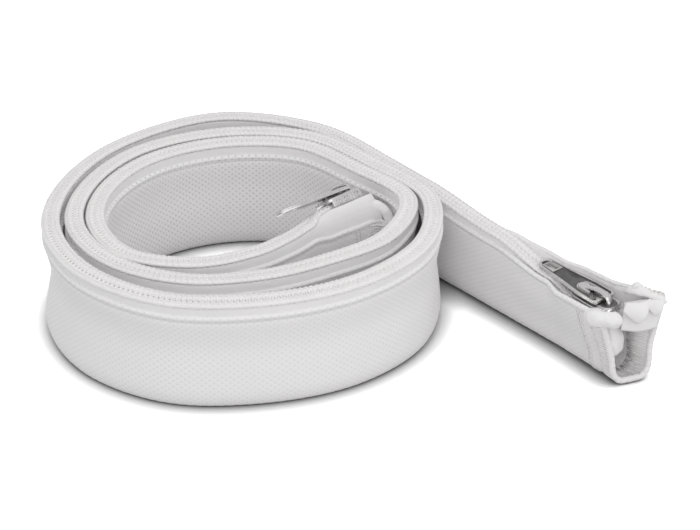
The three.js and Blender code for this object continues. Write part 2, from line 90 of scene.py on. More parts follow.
# Station, sag of the zip, change of the edge's drop, shift of the fold, half widths of the fold and
# the waist, bow, inner and outer hem faces, zip middle, tilt
SHAPE: tuple[tuple[float, ...], ...] = (
    (0, 10.7, -5.7, 5, 4.9, 6.6, 0.3, -5.1, 10.8, -0.3, 0),
    (0.06, 10.7, -5.5, 5, 4.85, 6.5, 0.4, -6.4, 9.4, -0.3, 0),
    (0.12, 10.7, -5.3, 5, 4.8, 6.4, 0.5, -6.6, 8.4, -0.3, 0),
    (0.45, 10.7, -4.9, 4.9, 4.6, 6, 0.8, -6.3, 5.7, -0.3, 0),
    (0.72, 10.6, -4.6, 4.9, 4.3, 5.6, 0.9, -6.1, 5.5, -0.3, 0),
    (1.05, 8.6, -2.9, 4.8, 3.8, 4.8, 0.9, -3.9, 3.2, -0.2, 0),
    (2, 4.8, -1, 4.3, 3.2, 3, 0.4, -2.7, 2.5, -0.1, 0),
    (3.3, 2.3, 0, 3.8, 2.7, 1.6, 0, -2.55, 2.55, 0, 0),
    (4.5, 1.5, 0, 3.2, 2.5, 1.35, 0, -2.5, 2.5, 0, 2),
    (6, 0.5, 0, 2.2, 2.5, 1.3, -0.3, -2.5, 2.5, 0, 6),
    (8.7, 0, 0, 1.3, 2.5, 1.3, -0.9, -2.5, 2.5, 0, 16),
    (11.7, 0, 0, -1.5, 2.5, 1.3, 0, -2.5, 2.5, 0, 7),
    (14.7, 0, 0, 0, 2.5, 1.3, 0, -2.5, 2.5, 0, 9),
    (16, 0, 0, 0, 2.5, 1.3, 0, -2.5, 2.5, 0, 0),
    (20.7, 0, 0, 0, 2.5, 1.3, -0.2, -2.5, 2.5, 0, 9),
    (23.7, 0, 0, 0, 2.5, 1.3, 0, -2.5, 2.5, 0, -6),
    (26.7, 0, 0, 0, 2.5, 1.3, 0, -2.5, 2.5, 0, 6),
    (29.7, 0, 0, -1.2, 2.5, 1.3, 0, -2.5, 2.5, 0, 0),
    (32.7, 0, 0, -0.4, 2.5, 1.3, 0, -2.5, 2.5, 0, 6),
    (35.5, 0, 0, 0, 2.6, 1.4, 0, -2.5, 2.5, 0, -5),
    (38, 1.4, 0.2, 0, 3, 2.2, 0, -3.6, 1.8, -0.9, -18),
    (39, 2.4, 1.3, 0.3, 3.6, 4.4, 0, -9.4, 1.9, -3.8, -40),
    (40.8, 2.4, 1.3, 0.4, 3.8, 5, 0, -9.4, 2.4, -3.8, -40),
    (41, 2.4, 1.3, 0.6, 3.8, 5.2, 0, -9.4, 4.4, -3.8, -40),
)

# Length from an open end, half gap of the coil, outer edge of the tape and its skirt
MOUTH_ZIP: tuple[tuple[float, ...], ...] = (
    (0, 1.4, 2.3, 2.2), (2.8, 1.9, 2.6, 2.5), (4.2, 1.9, 4.05, 3.95), (5.4, 1.6, 4.05, 3.95),
    (11.7, 0.15, 4.05, 3.95), (15.8, 0.15, 4.05, 3.9), (25, 0.15, 2.1, 1.25), (60, 0.15, 2.0, 1.15),
)
CORE_ZIP: tuple[tuple[float, ...], ...] = (
    (0, 1.9, 4.6, 4.5), (4.6, 1.6, 4.6, 4.5), (10.9, 0.15, 4.6, 4.5), (15.2, 0.15, 4.6, 4.5),
    (23, 0.15, 2.1, 1.25), (60, 0.15, 2.0, 1.15),
)

# Length from the mouth and how much the outer hem stands up there
FAR_LIFT: tuple[Flat, ...] = ((0, 3.6), (14, 3.9), (28, 4.4), (40, 3.4), (62, 0.0))


def mix(a: float, b: float, part: float) -> float:
    """Return the value that lies part of the way from a to b."""
    return a + (b - a) * part


def fade(value: float, start: float, end: float) -> float:
    """Return 1 up to the start, 0 past the end, and an eased value between."""
    part = min(max((value - start) / (end - start), 0.0), 1.0)
    return 1 - part * part * (3 - 2 * part)


def read_table(rows: Sequence[Sequence[float]], key: float, soft: bool) -> list[float]:
    """Read a table between its rows.

    Args:
        rows: rows whose first number is the key.
        key: where to read.
        soft: ease between rows in place of a straight run.

    Returns:
        The row's other numbers at that key.
    """
    if key <= rows[0][0]:
        return list(rows[0][1:])
    if key >= rows[-1][0]:
        return list(rows[-1][1:])
    i = bisect_right([row[0] for row in rows], key)
    part = (key - rows[i - 1][0]) / (rows[i][0] - rows[i - 1][0])
    part = part * part * (3 - 2 * part) if soft else part
    return [mix(a, b, part) for a, b in zip(rows[i - 1][1:], rows[i][1:])]


@dataclass(frozen=True)
class Section:
    """Cross-section of the sleeve at one length, in millimetres."""

    length: float
    point: Vector
    travel: Vector
    out: Vector
    high: float
    top: float
    fold: float
    fold_half: float
    waist_half: float
    bow: float
    inner: float
    outer: float
    middle: float
    tilt: float
    split: float
    edge: float
    skirt: float
    skew: float

    @property
    def rise(self) -> float:
        """Return how far the slider's zone is on: the tapes rise to the hems there."""
        return fade(self.length, 15.0, 34.0)

    @property
    def far_rise(self) -> float:
        """Return how far the outer hem stands up as a lip beside the zip."""
        return fade(self.length, 40.0, 62.0)

    @property
    def tops(self) -> Flat:
        """Return the heights of the inner and the outer hem."""
        lift = read_table(FAR_LIFT, self.length, True)[0]
        return self.top + 0.5 * self.rise, self.top + lift

    def spine(self, z: float) -> float:
        """Return the sideways middle of the wall at a height."""
        part = min(max(z / self.top, 0.0), 1.0)
        head = (self.inner + self.outer) / 2
        return mix(self.fold, head, part) + self.bow * math.sin(math.pi * part)

    def place(self, u: float, z: float, ahead: float = 0.0, skewed: float = 0.0) -> Vector:
        """Put a point of the section in space.

        Args:
            u: distance sideways from the zip line.
            z: height above the floor.
            ahead: distance along the run.
            skewed: share of the lead that the mouth's outer wall has over its inner wall.

        Returns:
            The point in metres, in the part's frame.
        """
        high_lead = 2.3 * fade(self.length, 0.0, 14.0) * min(max((z - 11) / 15, 0.0), 1.2) if u > self.fold else 0.0
        lead = ahead - skewed * (self.skew * (u - self.fold) + high_lead)
        p = self.point + self.out * u + self.travel * lead
        return Vector((p.x, p.y, z)) * MM

    def tilted(self, side: Side, u: float, down: float) -> Flat:
        """Turn a zip point about the middle of the zip by the section's tilt."""
        a = math.radians(-self.tilt)
        x, y = side.value * u, 2.0 - down
        return (
            self.middle + x * math.cos(a) - y * math.sin(a),
            self.high - 2 + x * math.sin(a) + y * math.cos(a),
        )


@dataclass
class SleeveLine:
    """Run of the zip line over the floor, and the sleeve's section anywhere along it."""

    tail_length: float = 95.0
    tail_offset: float = 52.0
    stand_height: float = 33.0
    edge_drop: float = 4.2
    tail_steps: int = 4
    mouth_skew: float = 0.32
    mouth_skew_length: float = 30.0
    slider_back: float = 15.0
    points: list[Vector] = field(init=False)
    lengths: list[float] = field(init=False)
    shift: Vector = field(init=False)
    fine: int = 24

    def __post_init__(self) -> None:
        """Lay out the plan curve and measure it."""
        pts = [
            Vector((self.tail_length * (1 - i / self.tail_steps), self.tail_offset))
            for i in range(self.tail_steps)
        ]
        for i, ratio in enumerate(TURN_RADII):
            r, a = ratio * self.tail_offset, math.pi / 2 + i * math.pi / 6
            pts.append(Vector((r * math.cos(a), r * math.sin(a))))
        pts += [Vector((x, y)) * self.tail_offset for x, y in CORE_RUN]
        self.points = pts
        low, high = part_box("mouth_slider_body")
        middle = self.tail_offset - 0.3
        self.shift = Vector((
            self.tail_length - self.slider_back - low[0] / MM,
            middle - (low[1] + high[1]) / 2 / MM,
        ))
        self.lengths = [0.0]
        last = self.curve(0.0)
        for i in range(1, (len(pts) - 1) * self.fine + 1):
            here = self.curve(i / self.fine)
            self.lengths.append(self.lengths[-1] + (here - last).length)
            last = here

    @property
    def total(self) -> float:
        """Return the whole length of the sleeve."""
        return self.lengths[-1]

    def curve(self, station: float) -> Vector:
        """Return the plan point at a station, on a centripetal spline through the plan points."""
        pts, last = self.points, len(self.points) - 1
        i = min(int(station), last - 1)
        w = station - i
        p1, p2 = pts[i], pts[i + 1]
        p0 = pts[i - 1] if i > 0 else p1 * 2 - p2
        p3 = pts[i + 2] if i + 2 <= last else p2 * 2 - p1
        d0, d1, d2 = ((b - a).length ** 0.5 for a, b in ((p0, p1), (p1, p2), (p2, p3)))
        t1 = ((p1 - p0) / d0 - (p2 - p0) / (d0 + d1) + (p2 - p1) / d1) * d1
        t2 = ((p2 - p1) / d1 - (p3 - p1) / (d1 + d2) + (p3 - p2) / d2) * d1
        c2 = p1 * -3 + p2 * 3 - t1 * 2 - t2
        c3 = p1 * 2 - p2 * 2 + t1 + t2
        return p1 + t1 * w + c2 * w * w + c3 * w * w * w

    def station(self, length: float) -> float:
        """Return the station at a length from the mouth."""
        n = len(self.lengths) - 1
        i = min(max(bisect_right(self.lengths, length), 1), n)
        part = (length - self.lengths[i - 1]) / (self.lengths[i] - self.lengths[i - 1])
        return (i - 1 + part) / self.fine

    def section(self, length: float) -> Section:
        """Return the sleeve's section at a length from the mouth, also a little past either end."""
        station = self.station(length)
        last = len(self.points) - 1
        inside = min(max(station, 0.0), float(last))
        p = self.curve(inside)
        a, b = self.curve(max(inside - 0.004, 0.0)), self.curve(min(inside + 0.004, float(last)))
        d = (b - a).normalized()
        over = length if length < 0 else max(0.0, length - self.total)
        p = p + d * over - self.shift
        sag, drop, *rest = read_table(SHAPE, inside, True)
        high = self.stand_height - sag
        near_mouth = length < self.total / 2
        rows = MOUTH_ZIP if near_mouth else CORE_ZIP
        split, edge, skirt = read_table(rows, length if near_mouth else self.total - length, False)
        skew = self.mouth_skew * max(0.0, 1 - max(length, 0.0) / self.mouth_skew_length) ** 2
        return Section(
            length, Vector((p.x, p.y, 0)), Vector((d.x, d.y, 0)), Vector((d.y, -d.x, 0)), high,
            high - self.edge_drop - drop, *rest, split, edge, skirt, skew,
        )


LINE = SleeveLine()


def smooth_run(points: Sequence[Flat], step: float) -> list[Vector]:
    """Return a fine polyline on a centripetal spline through the points.

    Args:
        points: the points that the spline passes.
        step: rough distance between the samples.

    Returns:
        The samples, both ends included.
    """
    pts = [Vector(p) for p in points]
    out: list[Vector] = []
    for i in range(len(pts) - 1):
        p1, p2 = pts[i], pts[i + 1]
        p0 = pts[i - 1] if i else p1 * 2 - p2
        p3 = pts[i + 2] if i + 2 < len(pts) else p2 * 2 - p1
        d0, d1, d2 = (max((b - a).length, 1e-6) ** 0.5 for a, b in ((p0, p1), (p1, p2), (p2, p3)))
        t1 = ((p1 - p0) / d0 - (p2 - p0) / (d0 + d1) + (p2 - p1) / d1) * d1
        t2 = ((p2 - p1) / d1 - (p3 - p1) / (d1 + d2) + (p3 - p2) / d2) * d1
        n = max(2, math.ceil((p2 - p1).length / step))
        for k in range(n):
            w = k / n
            out.append(p1 + t1 * w + (p1 * -3 + p2 * 3 - t1 * 2 - t2) * w * w
                       + (p1 * 2 - p2 * 2 + t1 + t2) * w ** 3)
    return out + [pts[-1]]


class Polyline:
    """Flat polyline that can be read at any distance along it."""

    def __init__(self, points: Sequence[Vector]) -> None:
        """Measure the line."""
        self.points = list(points)
        self.marks = [0.0]
        for a, b in zip(self.points, self.points[1:]):
            self.marks.append(self.marks[-1] + (b - a).length)

    @property
    def length(self) -> float:
        """Return the line's length."""
        return self.marks[-1]

    def at(self, mark: float) -> tuple[Vector, Vector]:
        """Return the point and the direction at a distance from the start."""
        i = min(max(bisect_right(self.marks, mark), 1), len(self.points) - 1)
        a, b = self.points[i - 1], self.points[i]
        gap = max(self.marks[i] - self.marks[i - 1], 1e-9)
        return a + (b - a) * ((mark - self.marks[i - 1]) / gap), (b - a).normalized()


def grid_mesh(
    bm: bmesh.types.BMesh,
    rings: Sequence[Sequence[Vector]],
    closed: bool = False,
    capped: bool = False,
    uv_of: Optional[Callable[[int, int], Flat]] = None,
) -> list[bmesh.types.BMVert]:
    """Shape a bmesh grid into a surface through rings of points.

    Args:
        bm: mesh that the surface is added to.
        rings: rows of points, all of one count.
        closed: join each ring's last point to its first.
        capped: fill the first and the last ring.
        uv_of: gives the map position of a ring and point number.

    Returns:
        The new vertices.
    """
    rows = [list(ring) + [ring[0]] for ring in rings] if closed else [list(r) for r in rings]
    n, m = len(rows) - 1, len(rows[0]) - 1
    made = bmesh.ops.create_grid(bm, x_segments=n, y_segments=m, size=1.0)["verts"]
    spots: dict[bmesh.types.BMVert, tuple[int, int]] = {}
    for v in made:
        spots[v] = (round((v.co.x + 1) / 2 * n), round((v.co.y + 1) / 2 * m))
    for v, (i, j) in spots.items():
        v.co = rows[i][j]
    if uv_of is not None:
        layer = bm.loops.layers.uv.verify()
        for face in {f for v in made for f in v.link_faces}:
            for loop in face.loops:
                loop[layer].uv = uv_of(*spots[loop.vert])
    if closed:
        seam = [v for v, (i, j) in spots.items() if j in (0, m)]
        bmesh.ops.remove_doubles(bm, verts=seam, dist=1e-7)
        made = [v for v in made if v.is_valid]
    if capped:
        rims = {e for v in made for e in v.link_edges if e.is_boundary}
        bmesh.ops.holes_fill(bm, edges=list(rims), sides=0)
    return made


def transport(path: Sequence[Vector], hint: Vector) -> list[tuple[Vector, Vector]]:
    """Return two directions across the path at each point, carried along it without twist."""
    out: list[tuple[Vector, Vector]] = []
    normal = hint
    for i in range(len(path)):
        t = (path[min(i + 1, len(path) - 1)] - path[max(i - 1, 0)]).normalized()
        normal = (normal - t * normal.dot(t)).normalized()
        out.append((normal, t.cross(normal)))
    return out


def tube(
    bm: bmesh.types.BMesh,
    path: Sequence[Vector],
    radius: float | Callable[[int], float],
    sides: int = 6,
    hint: Vector = Vector((0.02, 0.03, 1.0)),
    squeeze: float = 1.0,
    capped: bool = True,
) -> None:
    """Sweep a round or oval thread along a path.

    Args:
        bm: mesh that the thread is added to.
        path: centreline in metres.
        radius: radius in metres, or a function of the point's number.
        sides: faces round the thread.
        hint: direction that the first section's top faces.
        squeeze: thickness along that direction over the width across it.
        capped: close both ends.
    """
    rings = []
    for i, (p, (a, b)) in enumerate(zip(path, transport(path, hint))):
        r = radius(i) if callable(radius) else radius
        rings.append([
            p + a * (math.sin(2 * math.pi * k / sides) * r * squeeze)
            + b * (math.cos(2 * math.pi * k / sides) * r)
            for k in range(sides)
        ])
    grid_mesh(bm, rings, closed=True, capped=capped)


def settle(
    bm: bmesh.types.BMesh,
    name: str,
    material: bpy.types.Material,
    body: str = "sleeve",
    replaces: Sequence[str] = (),
    turn_normals: bool = True,
) -> bpy.types.Object:
    """Make a finished object of a bmesh and tie it to the frame.

    Args:
        bm: the mesh, in metres in the part's frame. It is freed.
        name: plain name of the piece.
        material: its finish.
        body: body that it rides on.
        replaces: frame nodes that it stands for.
        turn_normals: point all faces outwards first.

    Returns:
        The new object.
    """
    if turn_normals:
        bmesh.ops.recalc_face_normals(bm, faces=bm.faces)
    mesh = bpy.data.meshes.new(name)
    bm.to_mesh(mesh)
    bm.free()
    mesh.shade_smooth()
    mesh.materials.append(material)
    piece = bpy.data.objects.new(name, mesh)
    bpy.context.scene.collection.objects.link(piece)
    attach(piece, body)
    if replaces:
        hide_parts(*replaces)
    LOG.info("%s: %d faces", name, len(mesh.polygons))
    return piece


class NodeSheet:
    """Small writer for a node tree."""

    def __init__(self, tree: bpy.types.NodeTree) -> None:
        """Keep the tree."""
        self.tree = tree

    def add(self, kind: str, props: Optional[dict] = None, **inputs: object) -> bpy.types.Node:
        """Add a node, set its properties and fill or link its inputs by name or number.

        Args:
            kind: the node's type.
            props: properties to set on it.
            **inputs: a value, or a socket to link; in_0 stands for input number 0.

        Returns:
            The node.
        """
        node = self.tree.nodes.new(kind)
        for key, value in (props or {}).items():
            setattr(node, key, value)
        for key, value in inputs.items():
            name: object = int(key[3:]) if key.startswith("in_") else key.replace("_", " ")
            socket = node.inputs[name]
            if isinstance(value, bpy.types.NodeSocket):
                self.tree.links.new(value, socket)
            else:
                socket.default_value = value
        return node

    def math(self, operation: str, a: object, b: object = 0.0, clamp: bool = False) -> bpy.types.NodeSocket:
        """Return the result of a Math node."""
        return self.add("ShaderNodeMath", {"operation": operation, "use_clamp": clamp}, in_0=a, in_1=b).outputs[0]

    def blend(self, part: object, a: object, b: object) -> bpy.types.NodeSocket:
        """Return a colour between two colours."""
        node = self.add("ShaderNodeMix", {"data_type": "RGBA"})
        for number, value in ((0, part), (6, a), (7, b)):
            if isinstance(value, bpy.types.NodeSocket):
                self.tree.links.new(value, node.inputs[number])
            else:
                node.inputs[number].default_value = value
        return node.outputs[2]


def new_group(name: str, inputs: dict[str, float | str], outputs: Sequence[str]) -> tuple[bpy.types.NodeTree, NodeSheet, bpy.types.Node, bpy.types.Node]:
    """Start a shader node group.

    Args:
        name: the group's name.
        inputs: socket names with a default number, or the word vector.
        outputs: names of its number sockets.

    Returns:
        The group, its writer, and its input and output nodes.
    """
    tree = bpy.data.node_groups.new(name, "ShaderNodeTree")
    for key, value in inputs.items():
        kind = "NodeSocketVector" if value == "vector" else "NodeSocketFloat"
        socket = tree.interface.new_socket(name=key, in_out="INPUT", socket_type=kind)
        if value != "vector":
            socket.default_value = value
    for key in outputs:
        tree.interface.new_socket(name=key, in_out="OUTPUT", socket_type="NodeSocketFloat")
    sheet = NodeSheet(tree)
    return tree, sheet, sheet.add("NodeGroupInput"), sheet.add("NodeGroupOutput")


class ShaderParts:
    """Node groups that several finishes share."""

    def __init__(self) -> None:
        """Build the groups."""
        self.braid = self._braid()
        self.weave = self._weave()
        self.mottle = self._mottle()

    @staticmethod
    def _braid() -> bpy.types.NodeTree:
        """Crossing flat yarns with a pinhole at each corner, on a map in metres."""
        tree, s, gin, gout = new_group(
            "crossing_yarns", {"Map": "vector", "Cell Long": 0.0021, "Cell Tall": 0.00185, "Hole": 0.26},
            ["Height", "Pinhole", "Crevice"],
        )
        xyz = s.add("ShaderNodeSeparateXYZ", in_0=gin.outputs["Map"])
        x = s.math("DIVIDE", xyz.outputs[0], gin.outputs["Cell Long"])
        y = s.math("DIVIDE", xyz.outputs[1], gin.outputs["Cell Tall"])
        p, q = s.math("ADD", x, y), s.math("SUBTRACT", x, y)
        fp, fq = s.math("FRACT", p), s.math("FRACT", q)
        across_a = s.math("SINE", s.math("MULTIPLY", fq, math.pi))
        across_b = s.math("SINE", s.math("MULTIPLY", fp, math.pi))
        cell = s.math("ADD", s.math("FLOOR", p), s.math("FLOOR", q))
        odd = s.math("ABSOLUTE", s.math("MODULO", cell, 2.0))
        side_a = s.math("POWER", across_a, 0.55)
        side_b = s.math("POWER", across_b, 0.55)
        over_a = s.math("MULTIPLY", side_a, s.math("ADD", 0.45, s.math("MULTIPLY", across_b, 0.55)))
        over_b = s.math("MULTIPLY", side_b, s.math("ADD", 0.45, s.math("MULTIPLY", across_a, 0.55)))
        rise = s.math("SUBTRACT", over_b, over_a)
        body = s.math("ADD", over_a, s.math("MULTIPLY", rise, odd))
        strand_a = s.math("SINE", s.math("MULTIPLY", q, 2 * math.pi * 5))
        strand_b = s.math("SINE", s.math("MULTIPLY", p, 2 * math.pi * 5))
        turn = s.math("SUBTRACT", strand_b, strand_a)
        strand = s.math("ADD", strand_a, s.math("MULTIPLY", turn, odd))
        height = s.math("ADD", body, s.math("MULTIPLY", strand, 0.06))
        near_p = s.math("ABSOLUTE", s.math("SUBTRACT", s.math("FRACT", s.math("ADD", p, 0.5)), 0.5))
        near_q = s.math("ABSOLUTE", s.math("SUBTRACT", s.math("FRACT", s.math("ADD", q, 0.5)), 0.5))
        away = s.math("SQRT", s.math("ADD", s.math("MULTIPLY", near_p, near_p), s.math("MULTIPLY", near_q, near_q)))
        hole = s.math("SUBTRACT", 1.0, s.math("DIVIDE", away, gin.outputs["Hole"]), clamp=True)
        # Low spots between the yarns, where the braid's finish paints shade.
        crevice = s.math("SUBTRACT", 1.0, s.math("MULTIPLY", body, 1.15), clamp=True)
        links = tree.links
        links.new(height, gout.inputs["Height"])
        links.new(s.math("POWER", hole, 0.6), gout.inputs["Pinhole"])
        links.new(crevice, gout.inputs["Crevice"])
        return tree

    @staticmethod
    def _weave() -> bpy.types.NodeTree:
        """Fine twill ribs of a woven tape, on a map in metres."""
        tree, s, gin, gout = new_group(
            "twill_ribs", {"Map": "vector", "Rib": 0.00062, "Slant": 1.0}, ["Height", "Crevice"],
        )
        xyz = s.add("ShaderNodeSeparateXYZ", in_0=gin.outputs["Map"])
        slant = s.math("MULTIPLY", s.math("PINGPONG", xyz.outputs[1], 0.0012), gin.outputs["Slant"])
        x = s.math("DIVIDE", s.math("ADD", xyz.outputs[0], slant), gin.outputs["Rib"])
        y = s.math("DIVIDE", xyz.outputs[1], gin.outputs["Rib"])
        rib = s.math("ABSOLUTE", s.math("SINE", s.math("MULTIPLY", x, math.pi)))
        row = s.math("ABSOLUTE", s.math("SINE", s.math("MULTIPLY", y, math.pi)))
        height = s.math("MULTIPLY", s.math("POWER", rib, 0.6), s.math("ADD", 0.7, s.math("MULTIPLY", row, 0.3)))
        tree.links.new(height, gout.inputs["Height"])
        # Crevice marks the dips between the ribs, where the tape's finish paints shade.
        tree.links.new(s.math("SUBTRACT", 1.0, height, clamp=True), gout.inputs["Crevice"])
        return tree

    @staticmethod
    def _mottle() -> bpy.types.NodeTree:
        """Soft uneven shade, for cloth that was handled and metal that was rubbed."""
        tree, s, gin, gout = new_group("soft_mottle", {"Place": "vector", "Size": 90.0, "Fine": 900.0}, ["Broad", "Grain"])
        broad = s.add("ShaderNodeTexNoise", Vector=gin.outputs["Place"], Scale=gin.outputs["Size"], Detail=2.0)
        grain = s.add("ShaderNodeTexNoise", Vector=gin.outputs["Place"], Scale=gin.outputs["Fine"], Detail=3.0)
        tree.links.new(broad.outputs[0], gout.inputs["Broad"])
        tree.links.new(grain.outputs[0], gout.inputs["Grain"])
        return tree


PARTS = ShaderParts()


def start_material(name: str) -> tuple[bpy.types.Material, NodeSheet, bpy.types.Node]:
    """Return a new material, its writer and its Principled shader."""
    material = bpy.data.materials.new(name)
    material.use_nodes = True
    shader = next(n for n in material.node_tree.nodes if n.type == "BSDF_PRINCIPLED")
    return material, NodeSheet(material.node_tree), shader


def grey(value: float, warm: float = 0.0) -> tuple[float, float, float, float]:
    """Return a near neutral colour, a little warm or cool."""
    return (value * (1 + warm), value * 0.988, value * (0.994 - warm), 1.0)


@dataclass(frozen=True)
class BraidFinish:
    """White polyester braid: flat yarns that cross, with pinholes between them; painted shade darkens the pinholes and
    the low spots between the yarns.
    """

    shade: float = 0.95
    # Colour of the painted shade in the low spots between the yarns.
    crevice: float = 0.9
    # Painted shade seen through the pinholes: its colour, and how strongly it shows on the inner and the outer wall.
    pinhole: float = 0.56
    inner_pinhole_shade: float = 0.8
    outer_pinhole_shade: float = 0.24
    relief: float = 0.00008
    roughness: float = 0.82

    def material(self) -> bpy.types.Material:
        """Build the finish."""
        material, s, shader = start_material("white_braid")
        uv = s.add("ShaderNodeUVMap", {"uv_map": "run"})
        place = s.add("ShaderNodeTexCoord")
        yarns = s.add("ShaderNodeGroup", {"node_tree": PARTS.braid}, Map=uv.outputs[0])
        mottle = s.add("ShaderNodeGroup", {"node_tree": PARTS.mottle}, Place=place.outputs["Object"], Size=55.0, Fine=1600.0)
        base = s.blend(mottle.outputs["Broad"], grey(self.shade * 0.98), grey(self.shade * 1.02))
        # Painted shade: the low spots between the yarns are mixed towards a greyer colour.
        with_crevice_shade = s.blend(s.math("MULTIPLY", yarns.outputs["Crevice"], 0.35), base, grey(self.crevice))
        along, across = s.add("ShaderNodeSeparateXYZ", in_0=uv.outputs[0]).outputs[:2]
        # Painted shade in the pinholes: strong on the inner wall, weak on the outer wall and along the tail, patchy
        # with the mottle.
        outside = s.math("MULTIPLY", s.math("SUBTRACT", across, 0.028), 100.0, clamp=True)
        tail = s.math("MULTIPLY", s.math("SUBTRACT", 0.12, along), 40.0, clamp=True)
        outer = s.math("MAXIMUM", outside, tail)
        open_share = s.math("SUBTRACT", self.inner_pinhole_shade, s.math("MULTIPLY", outer, self.inner_pinhole_shade - self.outer_pinhole_shade))
        patchy = s.math("MULTIPLY", open_share, s.math("ADD", 0.35, s.math("MULTIPLY", mottle.outputs["Broad"], 1.3)))
        colour = s.blend(s.math("MULTIPLY", yarns.outputs["Pinhole"], patchy), with_crevice_shade, grey(self.pinhole))
        s.tree.links.new(colour, shader.inputs["Base Color"])
        rough = s.math("ADD", self.roughness - 0.08, s.math("MULTIPLY", mottle.outputs["Grain"], 0.16))
        s.tree.links.new(rough, shader.inputs["Roughness"])
        bump = s.add("ShaderNodeBump", Strength=0.5, Distance=self.relief, Height=yarns.outputs["Height"])
        s.tree.links.new(bump.outputs[0], shader.inputs["Normal"])
        shader.inputs["Specular IOR Level"].default_value = 0.25
        shader.inputs["Sheen Weight"].default_value = 0.12
        shader.inputs["Sheen Roughness"].default_value = 0.5
        return material


@dataclass(frozen=True)
class TapeFinish:
    """White woven tape with fine ribs."""

    name: str = "white_tape"
    shade: float = 0.95
    relief: float = 0.00007
    rib: float = 0.00062

    def material(self) -> bpy.types.Material:
        """Build the finish."""
        material, s, shader = start_material(self.name)
        uv = s.add("ShaderNodeUVMap", {"uv_map": "run"})
        place = s.add("ShaderNodeTexCoord")
        ribs = s.add("ShaderNodeGroup", {"node_tree": PARTS.weave}, Map=uv.outputs[0], Rib=self.rib)
        mottle = s.add("ShaderNodeGroup", {"node_tree": PARTS.mottle}, Place=place.outputs["Object"], Size=70.0, Fine=1400.0)
        base = s.blend(mottle.outputs["Broad"], grey(self.shade * 0.96), grey(self.shade * 1.03))
        # Painted shade: the dips between the ribs are mixed towards a darker grey.
        colour = s.blend(s.math("MULTIPLY", ribs.outputs["Crevice"], 0.3), base, grey(self.shade * 0.72))
        s.tree.links.new(colour, shader.inputs["Base Color"])
        rough = s.math("ADD", 0.72, s.math("MULTIPLY", mottle.outputs["Grain"], 0.16))
        s.tree.links.new(rough, shader.inputs["Roughness"])
        bump = s.add("ShaderNodeBump", Strength=0.7, Distance=self.relief, Height=ribs.outputs["Height"])
        s.tree.links.new(bump.outputs[0], shader.inputs["Normal"])
        shader.inputs["Specular IOR Level"].default_value = 0.25
        return material


@dataclass(frozen=True)
class NylonFinish:
    """Satin white nylon filament or polyester thread."""

    name: str = "white_nylon"
    shade: float = 0.93
    warm: float = 0.004
    roughness: float = 0.45
    strand: float = 2600.0
    relief: float = 0.35

    def material(self) -> bpy.types.Material:
        """Build the finish."""
        material, s, shader = start_material(self.name)
        place = s.add("ShaderNodeTexCoord")
        mottle = s.add("ShaderNodeGroup", {"node_tree": PARTS.mottle}, Place=place.outputs["Object"], Size=120.0, Fine=self.strand)
        base = s.blend(mottle.outputs["Broad"], grey(self.shade * 0.95, self.warm), grey(self.shade * 1.04, self.warm))
        s.tree.links.new(base, shader.inputs["Base Color"])
        rough = s.math("ADD", self.roughness - 0.08, s.math("MULTIPLY", mottle.outputs["Grain"], 0.16))
        s.tree.links.new(rough, shader.inputs["Roughness"])
        bump = s.add("ShaderNodeBump", Strength=self.relief, Distance=0.00008, Height=mottle.outputs["Grain"])
        s.tree.links.new(bump.outputs[0], shader.inputs["Normal"])
        return material


@dataclass(frozen=True)
class NickelFinish:
    """Nickel-plated die casting, rubbed by use."""

    name: str = "nickel_plate"
    shade: float = 0.66
    roughness: float = 0.22

    def material(self) -> bpy.types.Material:
        """Build the finish."""
        material, s, shader = start_material(self.name)
        place = s.add("ShaderNodeTexCoord")
        mottle = s.add("ShaderNodeGroup", {"node_tree": PARTS.mottle}, Place=place.outputs["Object"], Size=420.0, Fine=3000.0)
        colour = s.blend(mottle.outputs["Broad"], grey(self.shade * 0.82), grey(self.shade * 1.2, 0.01))
        s.tree.links.new(colour, shader.inputs["Base Color"])
        rough = s.math("ADD", self.roughness - 0.06, s.math("MULTIPLY", mottle.outputs["Grain"], 0.2))
        s.tree.links.new(rough, shader.inputs["Roughness"])
        bump = s.add("ShaderNodeBump", Strength=0.25, Distance=0.00003, Height=mottle.outputs["Grain"])
        s.tree.links.new(bump.outputs[0], shader.inputs["Normal"])
        shader.inputs["Metallic"].default_value = 1.0
        return material


@dataclass
class Finishes:
    """Every finish of the sleeve, built once."""

    cloth: bpy.types.Material = field(default_factory=lambda: BraidFinish().material())
    tape: bpy.types.Material = field(default_factory=lambda: TapeFinish().material())
    coil: bpy.types.Material = field(default_factory=lambda: NylonFinish().material())
    thread: bpy.types.Material = field(
        default_factory=lambda: NylonFinish("white_thread", 0.92, 0.006, 0.65, 4200.0).material())
    fold: bpy.types.Material = field(
        default_factory=lambda: NylonFinish("folded_tape", 0.93, 0.002, 0.8, 1500.0, 0.9).material())
    cut_coil: bpy.types.Material = field(
        default_factory=lambda: NylonFinish("cut_coil", 0.84, 0.02, 0.45).material())
    nickel: bpy.types.Material = field(default_factory=lambda: NickelFinish().material())
    # Dark nickel for the tab's floor between its rims, and painted shade on the slider's top where the tab casts its
    # shadow.
    dark_nickel_and_shade: bpy.types.Material = field(
        default_factory=lambda: NickelFinish("nickel_recess_and_shade", 0.17, 0.36).material())


